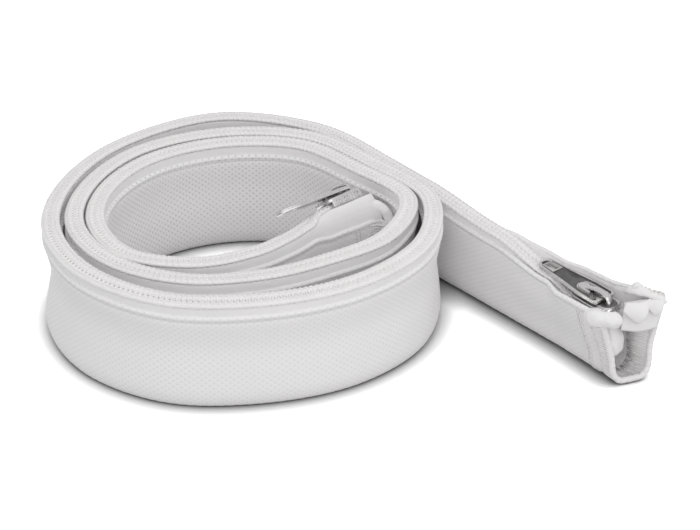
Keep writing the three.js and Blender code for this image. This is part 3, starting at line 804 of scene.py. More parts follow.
@dataclass
class BraidedCloth:
    """The folded braid: one strip that goes down one wall, round the fold and up the other."""

    thick: float = 0.55
    step_long: float = 1.37
    step_tall: float = 1.17
    relief: float = 0.03
    floor_flat: float = 0.8
    curl: float = 0.62
    hem_long: float = 9.0
    hem_extra: float = 0.35
    flat_width: float = 66.0
    top_marks: tuple[float, ...] = (0.0, 0.3, 0.6, 0.95, 1.3, 1.6, 1.95, 2.6)

    def hem_at(self, length: float) -> float:
        """Return how far the folded hem stands out at a length from the mouth."""
        near = min(length, LINE.total - length)
        return self.hem_extra * min(1.0, max(0.0, (self.hem_long + 0.5 - near) / 1.0))

    def outline(self, s: Section) -> Polyline:
        """Return the cloth's outer face from the inner hem round the fold to the outer hem."""
        half, hem = (s.outer - s.inner) / 2, self.hem_at(s.length)
        wall = [
            (0.031, s.fold_half * 0.66), (0.125, s.fold_half + hem * 0.6),
            (0.347, mix(s.fold_half, s.waist_half, 0.3) + hem), (0.642, s.waist_half + hem),
            (0.924, half + hem * 0.5), (1.0, half),
        ]
        left, right = ([(part * top, w) for part, w in wall] for top in s.tops)
        pts = [(s.spine(z) - w, z) for z, w in reversed(left)]
        pts += [(s.spine(0) - self.floor_flat, 0.0), (s.spine(0) + self.floor_flat, 0.0)]
        pts += [(s.spine(z) + w, z) for z, w in right]
        run = smooth_run(pts, 0.8)
        return Polyline([Vector((p.x, max(p.y, 0.0))) for p in run])

    def marks(self, length: float) -> list[float]:
        """Return the distances along the outline at which the cloth takes a row."""
        tops = list(self.top_marks)
        rows = round((self.flat_width - 2 * tops[-1]) / self.step_tall)
        middle = [mix(tops[-1], length - tops[-1], k / rows) for k in range(1, rows)]
        return tops + middle + [length - t for t in reversed(tops)]

    @staticmethod
    def hem_bulge(down: float) -> float:
        """Return how far the turned edge bulges or its seam draws in, at a distance below the top."""
        ridge = 0.42 * math.exp(-(((down - 0.55) / 0.55) ** 2))
        groove = -0.22 * math.exp(-(((down - 1.6) / 0.4) ** 2))
        return ridge + groove

    def ring(self, s: Section, index: int) -> list[Vector]:
        """Return one ring of cloth points in metres."""
        line = self.outline(s)
        rows: list[Flat] = []
        for k, mark in enumerate(self.marks(line.length)):
            p, t = line.at(mark)
            n = Vector((-t.y, t.x)) * -1
            down = min(mark, line.length - mark)
            push = self.hem_bulge(down) + (self.relief if (index + k) % 2 else -self.relief)
            q = p + n * push
            rows.append((q.x, max(q.y, 0.02)))
        first, last = rows[0], rows[-1]
        a, b = Vector(rows[0]) - Vector(rows[2]), Vector(rows[-1]) - Vector(rows[-3])
        start, finish = self.turned_edge(first, a.normalized(), 1.0), self.turned_edge(last, b.normalized(), -1.0)
        rows = list(reversed(start)) + rows + finish
        return [s.place(u, z, skewed=1.0) for u, z in rows]

    def turned_edge(self, top: Flat, up: Vector, inward: float) -> list[Flat]:
        """Return the points of the edge that rolls over and goes down inside the wall."""
        across = Vector((up.y, -up.x)) * inward
        p, r = Vector(top), self.curl
        points = [p + up * (r * 0.9) + across * r * 0.9, p + across * (2 * r), p + across * (2 * r) - up * 1.5]
        return [(q.x, q.y) for q in points]

    def build(self, finishes: Finishes) -> bpy.types.Object:
        """Make the cloth."""
        count = round(LINE.total / self.step_long)
        lengths = [LINE.total * i / count for i in range(count + 1)]
        rings = [self.ring(LINE.section(v), i) for i, v in enumerate(lengths)]
        edge = [-2.7, -1.5, -0.6]
        marks = edge + self.marks(self.flat_width) + [self.flat_width - e for e in reversed(edge)]
        bm = bmesh.new()
        grid_mesh(bm, rings, uv_of=lambda i, j: (lengths[i] * MM, marks[j] * MM))
        bm.normal_update()
        bm.faces.ensure_lookup_table()
        probe = min(bm.faces, key=lambda f: (f.calc_center_median() - rings[count // 2][20]).length)
        s = LINE.section(lengths[count // 2])
        if probe.normal.dot(s.out) > 0:
            bmesh.ops.reverse_faces(bm, faces=bm.faces)
        piece = settle(bm, "braided_cloth", finishes.cloth, replaces=["sleeve_fabric"], turn_normals=False)
        piece.data.uv_layers[0].name = "run"
        solid = piece.modifiers.new("cloth_thickness", "SOLIDIFY")
        solid.thickness, solid.offset = self.thick * MM, -1.0
        return piece


@dataclass
class ZipTape:
    """One woven tape: it carries a coil on its flange and goes down inside the cloth's hem."""

    side: Side
    thick: float = 0.4
    step: float = 2.6
    lap: float = 1.6

    def ring(self, s: Section) -> list[Vector]:
        """Return one ring of points on the tape's outer face."""
        side, sign = self.side, self.side.value
        lean = s.spine(s.top - self.lap) - s.spine(s.top)
        hung = (s.outer if side is Side.OUTER else s.inner) - sign * 0.4
        corner = s.tilted(side, s.edge, 1.95)
        flange = [s.tilted(side, s.split + 0.05, 1.62), s.tilted(side, mix(s.split, s.edge, 0.6), 1.6),
                  s.tilted(side, s.edge - 0.15, 1.62), corner]
        web = [(mix(corner[0], hung, 0.45), mix(corner[1], s.top + 0.2, 0.35)),
               (mix(corner[0], hung, 0.85), mix(corner[1], s.top + 0.2, 0.7)),
               (hung, s.top + 0.2), (hung + lean, s.top - self.lap)]
        wall = (s.outer if side is Side.OUTER else s.inner) - sign * 0.95
        top = s.tops[1] if side is Side.OUTER else s.tops[0]
        raised = [(mix(corner[0], wall, 0.6), corner[1] + 0.1), (wall, corner[1] + 0.9),
                  (wall, mix(corner[1], top, 0.6)), (wall + sign * 0.3, top + 0.25)]
        points = [s.place(u, z) for u, z in flange]
        rise = s.far_rise if side is Side.OUTER else s.rise
        for (u0, z0), (u1, z1) in zip(web, raised):
            points.append(s.place(mix(u0, u1, rise), mix(z0, z1, rise), skewed=rise))
        return points

    def build(self, finishes: Finishes) -> bpy.types.Object:
        """Make the tape."""
        count = round(LINE.total / self.step)
        lengths = [LINE.total * i / count for i in range(count + 1)]
        across = [0, 1.2, 2.2, 2.6, 3.4, 4.4, 5.4, 7.2]
        bm = bmesh.new()
        rings = [self.ring(LINE.section(v)) for v in lengths]
        grid_mesh(bm, rings, uv_of=lambda i, j: (lengths[i] * MM, across[j] * MM))
        bm.normal_update()
        bm.faces.ensure_lookup_table()
        probe = min(bm.faces, key=lambda f: (f.calc_center_median() - rings[count // 2][1]).length)
        if probe.normal.z < 0:
            bmesh.ops.reverse_faces(bm, faces=bm.faces)
        name = f"{self.side.name.lower()}_zip_tape"
        piece = settle(bm, f"{name}_woven", finishes.tape, replaces=[name], turn_normals=False)
        piece.data.uv_layers[0].name = "run"
        solid = piece.modifiers.new("tape_thickness", "SOLIDIFY")
        solid.thickness, solid.offset = self.thick * MM, -1.0
        return piece


@dataclass
class ZipCoil:
    """One nylon coil: a filament wound in flat loops whose heads cross into the other coil."""

    side: Side
    pitch: float = 1.5
    wire: float = 0.4
    cord: float = 1.3
    around: int = 8
    sides: int = 5
    start: float = 4.8
    end: float = 3.8

    def loop_point(self, s: Section, turn: float) -> Vector:
        """Return the filament's centre at a part of a turn."""
        a = 2 * math.pi * turn
        c, n = math.cos(a), math.sin(a)
        reach = 1.17 + 1.33 * math.copysign(abs(c) ** 0.75, c)
        drop = 0.86 - 0.52 * math.copysign(abs(n) ** 0.6, n)
        u = s.split - 0.25 + reach * (0.86 if s.split > 1 else 1.0)
        flat = s.tilted(self.side, u, drop)
        return s.place(*flat)

    def path(self) -> list[Vector]:
        """Return the filament's whole centreline."""
        offset = 0.0 if self.side is Side.INNER else 0.5
        loops = int((LINE.total - self.start - self.end) / self.pitch)
        points: list[Vector] = []
        for i in range(loops * self.around + 1):
            turn = i / self.around
            part = turn - int(turn)
            lag = 0.16 * math.sin(2 * math.pi * (part + 0.25) * 2) / 2
            length = self.start + (turn + offset - lag) * self.pitch
            points.append(self.loop_point(LINE.section(length), part))
        return points

    def build(self, finishes: Finishes) -> bpy.types.Object:
        """Make the coil."""
        bm = bmesh.new()
        tube(bm, self.path(), self.wire * MM, self.sides, hint=Vector((1, 0.1, 0.2)))
        span = LINE.total - self.start - self.end
        steps = round(span / 1.6)
        sections = [LINE.section(self.start + span * i / steps) for i in range(steps + 1)]
        core = [s.place(*s.tilted(self.side, s.split + 1.22, 0.82)) for s in sections]
        tube(bm, core, self.cord * MM, 8, squeeze=0.5)
        rim = [s.place(*s.tilted(self.side, s.split + 2.0, 0.88)) for s in sections]
        tube(bm, rim, 0.42 * MM, 6)
        name = f"{self.side.name.lower()}_zip_coil"
        return settle(bm, f"{name}_filament", finishes.coil, replaces=[name])


@dataclass
class SewnRows:
    """Rows of thread: over the coils' legs, and the dashes that hold the tapes in the cloth."""

    pitch: float = 4.0
    stitch: float = 2.4
    thread: float = 0.17

    def chain_rows(self, finishes: Finishes) -> None:
        """Make the sewn row on each coil, which dips between the loops."""
        for side in Side:
            bm = bmesh.new()
            for reach in (1.45,):
                path = []
                count = int((LINE.total - 20) / 0.75)
                for i in range(count):
                    s = LINE.section(12 + i * 0.75)
                    dip = 0.06 if i % 2 else -0.02
                    path.append(s.place(*s.tilted(side, s.split + reach, 0.05 + dip)))
                tube(bm, path, 0.14 * MM, 4)
            settle(bm, f"{side.name.lower()}_coil_sewing", finishes.thread)

    def seam_rows(self, cloth: BraidedCloth, finishes: Finishes) -> None:
        """Make the dashes along both hems."""
        for side in Side:
            bm = bmesh.new()
            count = int((LINE.total - 2 * 12) / self.pitch)
            for i in range(count):
                path = []
                for k, lift in ((0, -0.05), (0.25, 0.07), (0.5, 0.1), (0.75, 0.07), (1, -0.05)):
                    s = LINE.section(12 + i * self.pitch + k * self.stitch)
                    line = cloth.outline(s)
                    mark = 1.6 if side is Side.INNER else line.length - 1.6
                    p, t = line.at(mark)
                    q = p + Vector((t.y, -t.x)) * (cloth.hem_bulge(1.6) + lift)
                    path.append(s.place(q.x, q.y, skewed=1.0))
                tube(bm, path, self.thread * MM, 5)
            settle(bm, f"{side.name.lower()}_seam_stitches", finishes.thread)


@dataclass
class OpenHem:
    """Finished open end: binding thread, overlock rungs outside and inside, and a ladder of stitches."""

    end: End
    cloth: BraidedCloth
    rung: float = 0.98
    rung_out: float = 3.3
    rung_in: float = 6.0
    ladder: float = 7.9

    def length(self, back: float) -> float:
        """Return the length from the mouth of a place back from this open end."""
        return back if self.end is End.MOUTH else LINE.total - back

    def point(self, back: float, share: float, lift: float, floor: float = 0.22) -> Vector:
        """Return a point over the cloth.

        Args:
            back: distance back from the open end.
            share: part of the way from the inner hem round the fold to the outer hem.
            lift: distance above the outer face, negative for the inside.
            floor: least height of the point.

        Returns:
            The point in metres.
        """
        s = LINE.section(self.length(max(back, 0.0)))
        line = self.cloth.outline(s)
        p, t = line.at(line.length * share)
        q = p + Vector((t.y, -t.x)) * lift
        travel = -back * self.end.value if back < 0 else 0.0
        return s.place(q.x, max(q.y, floor), ahead=travel, skewed=1.0)

    def build(self, finishes: Finishes) -> None:
        """Make the binding, the rungs and the ladder."""
        name = self.end.name.lower()
        through = self.cloth.thick
        bm = bmesh.new()
        around = 150
        path = [self.point(-0.45, mix(0.012, 0.988, i / around), -through / 2, 0.9) for i in range(around + 1)]
        tube(bm, path, lambda i: (0.9 + 0.08 * math.sin(i * 1.25)) * MM, 8)
        settle(bm, f"{name}_binding_cord", finishes.thread, replaces=[f"{name}_hem_binding"])
        bm = bmesh.new()
        count = round(self.cloth.flat_width / self.rung)
        for i in range(1, count):
            share = mix(0.015, 0.985, i / count)
            sway = 0.004 * math.sin(i * 2.3)
            path = [self.point(self.rung_out, share + sway, 0.08), self.point(1.6, share, 0.18),
                    self.point(0.2, share, 0.3), self.point(-0.7, share, 0.25),
                    self.point(-1.15, share, -through / 2), self.point(-0.7, share, -through - 0.25),
                    self.point(0.2, share, -through - 0.2), self.point(3.5, share + sway, -through - 0.16),
                    self.point(self.rung_in, share - sway, -through - 0.05)]
            tube(bm, path, 0.25 * MM, 5)
        settle(bm, f"{name}_overlock_rungs", finishes.thread)
        bm = bmesh.new()
        steps = round(self.cloth.flat_width / 1.3)
        for i in range(1, steps):
            share = i / steps
            for back in (self.ladder - 0.65, self.ladder + 0.65):
                ends = [self.point(back, share + k / steps * 0.42, 0.12) for k in (-1, 0, 1)]
                tube(bm, ends, 0.17 * MM, 5)
            cross = [self.point(self.ladder + k, share + 0.5 / steps, 0.08) for k in (-0.65, 0.0, 0.65)]
            tube(bm, cross, 0.13 * MM, 4)
        settle(bm, f"{name}_hem_ladder", finishes.thread)


Stop = tuple[float, float, float, float]


def ease_through(stops: Sequence[Stop], fine: int = 5) -> list[Stop]:
    """Return more stops on a smooth run through the given ones."""
    out: list[Stop] = []
    last = len(stops) - 1
    for i in range(last):
        p0, p1, p2, p3 = (stops[min(max(i + k, 0), last)] for k in (-1, 0, 1, 2))
        for n in range(fine):
            w = n / fine
            out.append(tuple(
                b + 0.5 * w * (c - a + w * (2 * a - 5 * b + 4 * c - d + w * (3 * (b - c) + d - a)))
                for a, b, c, d in zip(p0, p1, p2, p3)))
    return out + [stops[last]]


@dataclass
class TapeFolds:
    """Ends of the tapes and hems, rolled and folded over the corners of the open ends."""

    near_roll: tuple[Stop, ...] = (
        (6.4, -7.2, 22.2, 0.3), (5.2, -7.2, 22.6, 1.5), (3.6, -7.0, 22.9, 2.1), (2.2, -6.6, 22.9, 2.3),
        (1.2, -5.8, 22.8, 2.2), (0.5, -4.9, 22.6, 1.9), (-0.1, -3.9, 22.3, 2.2), (-0.6, -2.8, 22.0, 2.3),
        (-0.9, -1.8, 21.8, 1.8), (-1.1, -1.1, 21.6, 0.5),
    )
    near_bulge: tuple[Stop, ...] = (
        (5.6, 0.2, 19.0, 0.3), (5.4, 0.4, 17.2, 2.2), (5.2, 1.2, 14.0, 3.6), (5.0, 1.8, 11.0, 3.9),
        (5.2, 2.2, 8.4, 3.0), (5.4, 2.4, 6.2, 0.4),
    )
    far_flap: tuple[Stop, ...] = (
        (4.0, 5.4, 25.4, 0.3), (2.0, 5.5, 26.9, 1.2), (-0.2, 6.0, 27.6, 1.3), (-2.6, 7.3, 27.3, 1.2),
        (-4.8, 8.7, 26.6, 1.1), (-6.2, 9.6, 25.8, 0.8), (-6.8, 10.0, 25.4, 0.3),
    )
    far_nub: tuple[Stop, ...] = (
        (1.6, 5.2, 27.4, 0.3), (0.9, 5.5, 28.6, 1.0), (0.1, 5.9, 29.1, 1.0), (-0.6, 6.2, 28.2, 0.3),
    )
    core_end: tuple[Stop, ...] = (
        (3.5, -1.6, 28.8, 0.3), (2.2, -0.8, 29.0, 1.1), (0.2, 0.6, 28.8, 1.5), (-1.4, 2.6, 27.4, 1.6),
        (-2.0, 4.4, 25.0, 1.6), (-1.6, 5.4, 22.4, 1.3), (-1.0, 5.8, 20.6, 0.3),
    )

    def roll(self, name: str, end: End, stops: Sequence[Stop], finishes: Finishes, creased: float = 0.3) -> None:
        """Make one soft roll with an uneven surface.

        Args:
            name: plain name of the piece.
            end: open end that it belongs to.
            stops: distance back from that end, sideways distance, height and radius.
            finishes: the finishes.
            creased: depth of its creases, in millimetres.
        """
        run = ease_through(stops)
        path = []
        for back, u, z, _ in run:
            length = back if end is End.MOUTH else LINE.total - back
            path.append(LINE.section(length).place(u, z))
        bm = bmesh.new()
        tube(bm, path, lambda i: max(run[i][3], 0.2) * MM, 14)
        bmesh.ops.subdivide_edges(bm, edges=bm.edges[:], cuts=2, use_grid_fill=True, smooth=0.5)
        bm.normal_update()
        for v in bm.verts:
            broad, fine = noise.noise(v.co * 420), noise.noise(v.co * 1700)
            v.co += v.normal * (creased * (broad + 0.3 * fine) - 0.15 * creased) * MM
        settle(bm, name, finishes.fold)

    def curtain(self, name: str, span: tuple[Flat, Flat], tops: Flat, fall: float, lobe: Flat, finishes: Finishes) -> None:
        """Make a hanging end of the far tape.

        Args:
            name: plain name of the piece.
            span: sideways distance and distance back at either side of it.
            tops: height of its top at either side.
            fall: how far it hangs down.
            lobe: extra fall and forward swing of its middle.
            finishes: the finishes.
        """
        rows = []
        for i in range(29):
            part = i / 28
            swell = math.sin(math.pi * part) ** 1.4
            u, back = mix(span[0][0], span[1][0], part), mix(span[0][1], span[1][1], part)
            top = mix(tops[0], tops[1], part)
            row = []
            for k in range(13):
                down = k / 12
                forward = lobe[1] * swell * math.sin(math.pi * (0.1 + 0.75 * down))
                z = top - (fall * mix(0.86, 1.0, part) + lobe[0] * swell) * down
                row.append(LINE.section(back).place(u - 0.9 * down, z, ahead=-forward))
            rows.append(row)
        bm = bmesh.new()
        grid_mesh(bm, rows, uv_of=lambda i, j: (i * 0.4 * MM, j * 0.6 * MM))
        piece = settle(bm, name, finishes.fold)
        solid = piece.modifiers.new("curtain_thickness", "SOLIDIFY")
        solid.thickness, solid.offset = 0.8 * MM, 0.0

    def coil_stub(self, finishes: Finishes) -> None:
        """Make the far coil's cut end, which stands out of the flap."""
        path, core = [], []
        for i in range(6 * 12 + 1):
            a = 2 * math.pi * i / 12
            part = i / 72
            section = LINE.section(mix(-0.2, -5.6, part))
            u, z = mix(6.4, 9.4, part), mix(28.4, 26.9, part)
            path.append(section.place(u + 0.95 * math.cos(a), z + 0.55 * math.sin(a)))
            core.append(section.place(u, z - 0.1))
        bm = bmesh.new()
        tube(bm, path, 0.34 * MM, 6)
        tube(bm, core, 0.75 * MM, 8, squeeze=0.7)
        settle(bm, "outer_coil_stub", finishes.cut_coil)

    def build(self, finishes: Finishes) -> None:
        """Make the folds at both ends."""
        self.roll("near_tape_roll", End.MOUTH, self.near_roll, finishes, 0.55)
        self.roll("near_hem_bulge", End.MOUTH, self.near_bulge, finishes)
        self.roll("far_tape_flap", End.MOUTH, self.far_flap, finishes)
        self.roll("far_tape_nub", End.MOUTH, self.far_nub, finishes)
        self.roll("core_tape_roll", End.CORE, self.core_end, finishes)
        self.curtain("far_tape_lining", ((1.6, 0.4), (9.9, -4.6)), (25.2, 26.4), 9.2, (0.6, 0.6), finishes)
        self.curtain("far_tape_tongue", ((1.0, -0.6), (6.6, -4.0)), (25.8, 26.6), 2.4, (3.4, 2.8), finishes)
        self.curtain("far_tape_scallop", ((6.4, -3.8), (9.8, -5.9)), (26.4, 26.4), 1.8, (2.4, 2.0), finishes)
        self.coil_stub(finishes)


def seat(length: float, towards: int) -> Matrix:
    """Return the matrix that carries a slider's own frame, in millimetres, to its place on the zip.

    Args:
        length: length from the mouth at which the slider's nose sits.
        towards: way that the nose points along the run.

    Returns:
        Matrix from millimetres in the slider's frame to metres in the part's frame.
    """
    s = LINE.section(length)
    x = s.travel * towards
    y = Vector((0, 0, 1)).cross(x)
    turn = math.radians(-s.tilt) * math.copysign(1.0, y.dot(s.out))
    basis = Matrix((x, y, Vector((0, 0, 1)))).transposed().to_4x4()
    spot = s.point + s.out * s.middle
    basis.translation = Vector((spot.x, spot.y, s.high))
    lift, drop = Matrix.Translation((0, 0, 2)), Matrix.Translation((0, 0, -2))
    return Matrix.Scale(MM, 4) @ basis @ drop @ Matrix.Rotation(turn, 4, "X") @ lift


def slab(
    bm: bmesh.types.BMesh,
    outline: Sequence[Flat],
    low: float,
    high: float,
    bevel: float = 0.0,
    holes: Sequence[Sequence[Flat]] = (),
) -> list[bmesh.types.BMVert]:
    """Extrude a flat outline, with any holes through it, and round its rims.

    Args:
        bm: mesh that it is added to.
        outline: corners in the slider's frame, in millimetres.
        low: height of its underside.
        high: height of its top.
        bevel: rounding of its rims.
        holes: outlines of openings.

    Returns:
        The new vertices.
    """
    old = set(bm.verts)
    edges = []
    for loop in (outline, *holes):
        verts = [bm.verts.new((x, y, low)) for x, y in loop]
        edges += [bm.edges.new((a, b)) for a, b in zip(verts, verts[1:] + verts[:1])]
    faces = [g for g in bmesh.ops.triangle_fill(bm, edges=edges, use_beauty=True)["geom"]
             if isinstance(g, bmesh.types.BMFace)]
    raised = bmesh.ops.extrude_face_region(bm, geom=faces)["geom"]
    bmesh.ops.translate(bm, verts=[g for g in raised if isinstance(g, bmesh.types.BMVert)], vec=(0, 0, high - low))
    new = [v for v in bm.verts if v not in old]
    touched = {f for v in new for f in v.link_faces}
    bmesh.ops.recalc_face_normals(bm, faces=list(touched))
    if bevel:
        rims = [e for e in {e for v in new for e in v.link_edges}
                if len(e.link_faces) == 2 and e.calc_face_angle() > 0.9]
        bmesh.ops.bevel(bm, geom=rims, offset=bevel, offset_type="OFFSET", affect="EDGES", segments=2,
                        profile=0.5, material=-1, clamp_overlap=True)
    return [v for v in bm.verts if v not in old]


@dataclass
class Slider:
    """Cast slider: upper plate with side flanges, lower plate, wedge and an arched bail."""

    end: End
    back: float
    long: float = 12.4
    nose_half: float = 4.35
    tail_half: float = 3.9
    plate: float = 1.1
    gap: float = 0.3
    bail_gap: float = 2.1
    bail_thick: float = 1.0
    coil_tall: float = 1.35

    def matrix(self) -> Matrix:
        """Return the slider's place."""
        length = self.back if self.end is End.MOUTH else LINE.total - self.back
        return seat(length, self.end.value)

    def plan(self, grow: float) -> list[Flat]:
        """Return the upper plate's outline, grown or shrunk."""
        n, t, long = self.nose_half + grow, self.tail_half + grow, self.long
        half = [(0, n * 0.45), (-0.25, n * 0.68), (-0.8, n * 0.87), (-1.7, n * 0.98), (-3.0, n), (-6, n * 0.985),
                (-8.4, mix(n, t, 0.55)), (-long + 1.5, t), (-long + 0.5, t * 0.93), (-long, t * 0.74)]
        return [(x, -y) for x, y in half] + [(x, y) for x, y in reversed(half)]

    def flange(self, bm: bmesh.types.BMesh, sign: int) -> None:
        """Add one side flange with its cast ribs."""
        n, t, long = self.nose_half, self.tail_half, self.long
        outer = [(-1.0, n * 0.93), (-2.2, n), (-6, n * 0.985), (-8.4, mix(n, t, 0.55)), (-long + 1.0, t)]
        inner = [(x, y - 0.72) for x, y in reversed(outer)]
        slab(bm, [(x, y * sign) for x, y in outer + inner], -self.coil_tall, self.gap + 0.3, 0.16)
        for k in range(9):
            x = -2.4 - k * 0.95
            y = n if x > -6 else mix(n, t, min(1.0, (-x - 6) / 5.4))
            path = [Vector((x, sign * (y - 0.02), z)) for z in (-self.coil_tall + 0.15, -0.4, 0.45)]
            tube(bm, path, 0.16, 5, hint=Vector((1, 0, 0)))

    def bail_path(self) -> list[Vector]:
        """Return the bail's centreline, from its nose foot over the arch to its rear foot."""
        z0 = self.gap + self.plate
        top = z0 + self.bail_gap + self.bail_thick / 2
        points = [(-1.35, z0 - 0.4), (-1.45, z0 + 0.8), (-1.95, z0 + 1.9), (-3.0, top - 0.25), (-4.7, top + 0.02),
                  (-6.6, top - 0.06), (-8.3, top - 0.5), (-9.7, z0 + 1.75), (-10.55, z0 + 0.7), (-10.9, z0 - 0.4)]
        return [Vector((p.x, 0, p.y)) for p in smooth_run(points, 0.45)]

    def build(self, finishes: Finishes) -> None:
        """Make the slider."""
        name = self.end.name.lower()
        bm = bmesh.new()
        slab(bm, self.plan(0.0), self.gap, self.gap + self.plate, 0.32)
        slab(bm, self.plan(-1.5), self.gap + self.plate - 0.1, self.gap + self.plate + 0.22, 0.16)
        for sign in (-1, 1):
            self.flange(bm, sign)
        low = -(self.coil_tall + self.gap + 0.42 + self.gap)
        belly = [(-0.4, -1.95), (-1.6, -3.1), (-self.long + 0.6, -3.1), (-self.long, -2.3),
                 (-self.long, 2.3), (-self.long + 0.6, 3.1), (-1.6, 3.1), (-0.4, 1.95)]
        slab(bm, belly, low - 1.0, low, 0.3)
        wedge = [(-0.9, 0.0), (-1.6, -1.15), (-2.6, -1.15), (-5.6, 0.0), (-2.6, 1.15), (-1.6, 1.15)]
        slab(bm, wedge, low - 0.4, self.gap + 0.4, 0.12)
        path = self.bail_path()
        tube(bm, path, 0.5 * 2.05, 10, hint=Vector((-1, 0, 0.2)), squeeze=self.bail_thick / 2.05)
        bmesh.ops.transform(bm, matrix=self.matrix(), verts=bm.verts)
        settle(bm, f"{name}_slider_casting", finishes.nickel, replaces=[f"{name}_slider_body"])
        # Painted shadow: a dark slab over the middle of the upper plate stands for the shade that the tab casts on it.
        bm = bmesh.new()
        slab(bm, self.plan(-1.75), self.gap + self.plate + 0.1, self.gap + self.plate + 0.27, 0.05)
        bmesh.ops.transform(bm, matrix=self.matrix(), verts=bm.verts)
        settle(bm, f"{name}_slider_shaded_top", finishes.dark_nickel_and_shade)


@dataclass
class PullTab:
    """Pull tab: light rims round a dark recess, a long slot round the bail and a small window."""

    slider: Slider
    body: str
    long: float = 23.2
    wide: float = 8.0
    end_wide: float = 5.0
    thick: float = 1.05
    bar: float = 1.3
    slot_long: float = 8.3
    slot_half: float = 2.1
    window_long: float = 3.6
    window_half: float = 1.5
    rise: float = 2.5
    rim: float = 0.5

    def outline(self, inset: float) -> list[Flat]:
        """Return the tab's edge, drawn in by an inset."""
        w, e, far, near = self.wide / 2 - inset, self.end_wide / 2 - inset, -self.long + inset, self.bar / 2 - inset
        half = [(near, w - 1.1), (near - 0.35, w - 0.4), (near - 0.8, w), (-6.0, w), (-12.5, w - 0.8),
                (far + 1.5, e), (far, e - 1.15)]
        return [(x, -y) for x, y in half] + [(x, y) for x, y in reversed(half)]

    def slot(self, grow: float) -> list[Flat]:
        """Return the slot's outline, which narrows to a round end."""
        s, end, near = self.slot_half, -self.bar / 2 - self.slot_long, -self.bar / 2 + grow * 0.4
        ring = [(end + 2.0, s * 0.86), (end + 1.0, s * 0.7), (end + 0.35, s * 0.42), (end, 0.0)]
        half = [(near, s)] + ring[:-1]
        tip = [(end - grow, 0.0)]
        grown = [(x - grow * 0.5, y + grow) for x, y in half]
        return [(x, -y) for x, y in grown] + tip + [(x, y) for x, y in reversed(grown)]

    def window(self, grow: float) -> list[Flat]:
        """Return the window's outline."""
        far = -self.long + 1.9
        near, h = far + self.window_long + grow, self.window_half + grow
        return [(far - grow, -h * 0.85), (near, -h), (near, h), (far - grow, h * 0.85)]

    def build(self, finishes: Finishes) -> None:
        """Make the tab in two finishes: its rims, and the dark floor between them."""
        name = self.slider.end.name.lower()
        tilt = Matrix.Rotation(math.radians(self.rise), 4, "Y")
        hinge = Matrix.Translation((-3.7, 0, self.slider.gap + self.slider.plate + self.slider.bail_gap / 2))
        here = self.slider.matrix() @ hinge @ tilt
        t, rim = self.thick / 2, self.rim
        bm = bmesh.new()
        slab(bm, self.outline(0.0), -t, t * 0.25, 0.12, holes=[self.slot(0.0), self.window(0.0)])
        slab(bm, self.outline(0.0), t * 0.1, t, 0.14, holes=[self.outline(rim)])
        slab(bm, self.slot(rim), t * 0.1, t * 0.95, 0.12, holes=[self.slot(0.0)])
        slab(bm, self.window(rim * 0.8), t * 0.1, t * 0.9, 0.1, holes=[self.window(0.0)])
        slab(bm, [(self.bar / 2, -2.6), (self.bar / 2, 2.6), (-self.bar / 2, 2.6), (-self.bar / 2, -2.6)], -t, t, 0.35)
        bmesh.ops.transform(bm, matrix=here, verts=bm.verts)
        settle(bm, f"{name}_tab_frame", finishes.nickel, body=self.body, replaces=[f"{name}_pull_tab"])
        bm = bmesh.new()
        slab(bm, self.outline(rim * 0.9), t * 0.2, t * 0.45, holes=[self.slot(rim * 0.9), self.window(rim * 0.7)])
        bmesh.ops.transform(bm, matrix=here, verts=bm.verts)
        settle(bm, f"{name}_tab_recess", finishes.dark_nickel_and_shade, body=self.body)


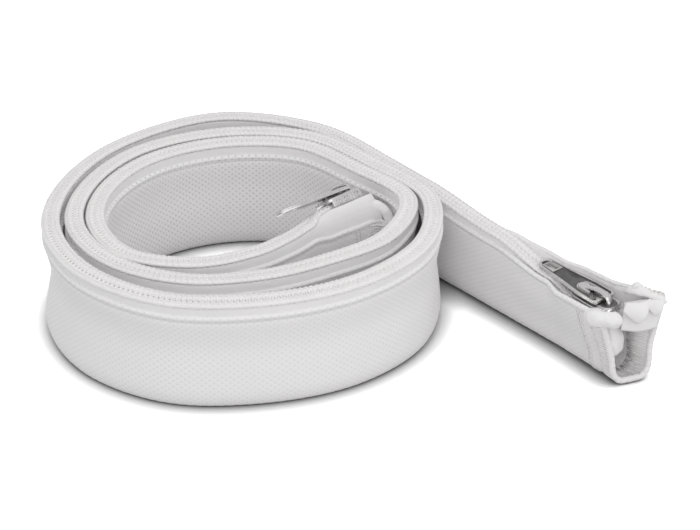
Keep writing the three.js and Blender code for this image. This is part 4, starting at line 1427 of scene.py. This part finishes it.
@dataclass
class Studio:
    """Pale floor, soft lamps and the camera of the photograph."""

    turn: float = 50.3
    elevation: float = 29.4
    lens: float = 120.45
    spot: tuple[float, float, float] = (29.48, -569.8, 336.0)
    floor_gain: float = 2.3
    floor_bounce: float = 0.62
    # Reach of the painted shadow that ambient occlusion draws on the floor near the part.
    painted_shadow_reach: float = 0.008
    horizon: float = 0.84
    zenith: float = 0.64

    def camera(self) -> None:
        """Place the camera."""
        a, e = math.radians(self.turn), math.radians(self.elevation)
        turned = Matrix.Rotation(a, 3, "Z")
        place = turned @ Vector(self.spot)
        look = turned @ Vector((0, math.cos(e), -math.sin(e)))
        data = bpy.data.cameras.new("camera")
        data.lens, data.sensor_width = self.lens, 36.0
        data.clip_start, data.clip_end = 0.01, 20.0
        cam = bpy.data.objects.new("camera", data)
        bpy.context.scene.collection.objects.link(cam)
        cam.location = (place - Vector((LINE.shift.x, LINE.shift.y, 0))) * MM
        cam.rotation_mode = "QUATERNION"
        cam.rotation_quaternion = look.to_track_quat("-Z", "Y")
        bpy.context.scene.camera = cam

    def lamp(self, name: str, place: Vector, size: float, watts: float) -> None:
        """Add a soft square lamp that faces the middle of the part."""
        data = bpy.data.lights.new(name, "AREA")
        data.shape, data.size, data.energy = "SQUARE", size, watts
        lamp = bpy.data.objects.new(name, data)
        bpy.context.scene.collection.objects.link(lamp)
        lamp.location = place
        lamp.rotation_mode = "QUATERNION"
        lamp.rotation_quaternion = (Vector((0, 0, 0.01)) - place).to_track_quat("-Z", "Y")

    def floor(self) -> None:
        """Lay the floor, which the camera sees as white where nothing shades it, darkened near the part by a painted
        shadow drawn from ambient occlusion.
        """
        material, s, shader = start_material("pale_floor")
        ray = s.add("ShaderNodeLightPath")
        seen = s.math("MAXIMUM", ray.outputs["Is Camera Ray"], ray.outputs["Is Glossy Ray"])
        # Painted shadow: for the camera's rays, ambient occlusion darkens the floor's colour near the part.
        near = s.add("ShaderNodeAmbientOcclusion", {"samples": 16}, Distance=self.painted_shadow_reach)
        open_share = s.math("POWER", near.outputs["AO"], 1.7)
        gain, bounce = self.floor_gain, self.floor_bounce
        white = s.blend(open_share, (0.1, 0.1, 0.1, 1), (gain, gain, gain, 1))
        colour = s.blend(seen, (bounce, bounce, bounce, 1), white)
        s.tree.links.new(colour, shader.inputs["Base Color"])
        shader.inputs["Roughness"].default_value = 0.95
        shader.inputs["Specular IOR Level"].default_value = 0.0
        bm = bmesh.new()
        bmesh.ops.create_grid(bm, x_segments=1, y_segments=1, size=3.0)
        mesh = bpy.data.meshes.new("floor")
        bm.to_mesh(mesh)
        bm.free()
        mesh.materials.append(material)
        plane = bpy.data.objects.new("floor", mesh)
        plane.location = (0, 0, -0.0002)
        bpy.context.scene.collection.objects.link(plane)

    def build(self) -> None:
        """Set up the floor, the lamps, the world and the camera."""
        scene = bpy.context.scene
        scene.view_settings.view_transform = "Standard"
        world = bpy.data.worlds.new("studio")
        world.use_nodes = True
        scene.world = world
        back = next(n for n in world.node_tree.nodes if n.type == "BACKGROUND")
        s = NodeSheet(world.node_tree)
        ray = s.add("ShaderNodeLightPath")
        way = s.add("ShaderNodeTexCoord")
        up = s.math("MAXIMUM", s.add("ShaderNodeSeparateXYZ", in_0=way.outputs["Generated"]).outputs[2], 0.0)
        level = s.math("SUBTRACT", self.horizon, s.math("MULTIPLY", up, self.horizon - self.zenith))
        seen = s.math("MULTIPLY", ray.outputs["Is Camera Ray"], 4.0)
        back.inputs["Color"].default_value = (1, 1, 1, 1)
        s.tree.links.new(s.math("ADD", level, seen), back.inputs["Strength"])
        self.camera()
        self.floor()
        a = math.radians(self.turn)
        turned = Matrix.Rotation(a, 3, "Z")
        self.lamp("front_softbox", turned @ Vector((0.2, -0.7, 0.6)), 0.9, 2.0)
        self.lamp("top_softbox", turned @ Vector((0.3, 0.2, 0.9)), 0.8, 0.3)


def main() -> None:
    """Build every piece in order."""
    logging.basicConfig(level=logging.INFO, format="%(message)s")
    Studio().build()
    finishes = Finishes()
    cloth = BraidedCloth()
    sheet = cloth.build(finishes)
    for side in Side:
        ZipTape(side).build(finishes)
        ZipCoil(side).build(finishes)
    rows = SewnRows()
    rows.chain_rows(finishes)
    rows.seam_rows(cloth, finishes)
    for end in End:
        OpenHem(end, cloth).build(finishes)
    TapeFolds().build(finishes)
    for end, back, body in ((End.MOUTH, 2.6, "mouth_tab"), (End.CORE, 1.6, "core_tab")):
        slider = Slider(end, back)
        slider.build(finishes)
        PullTab(slider, body).build(finishes)


if __name__ == "__main__":
    main()
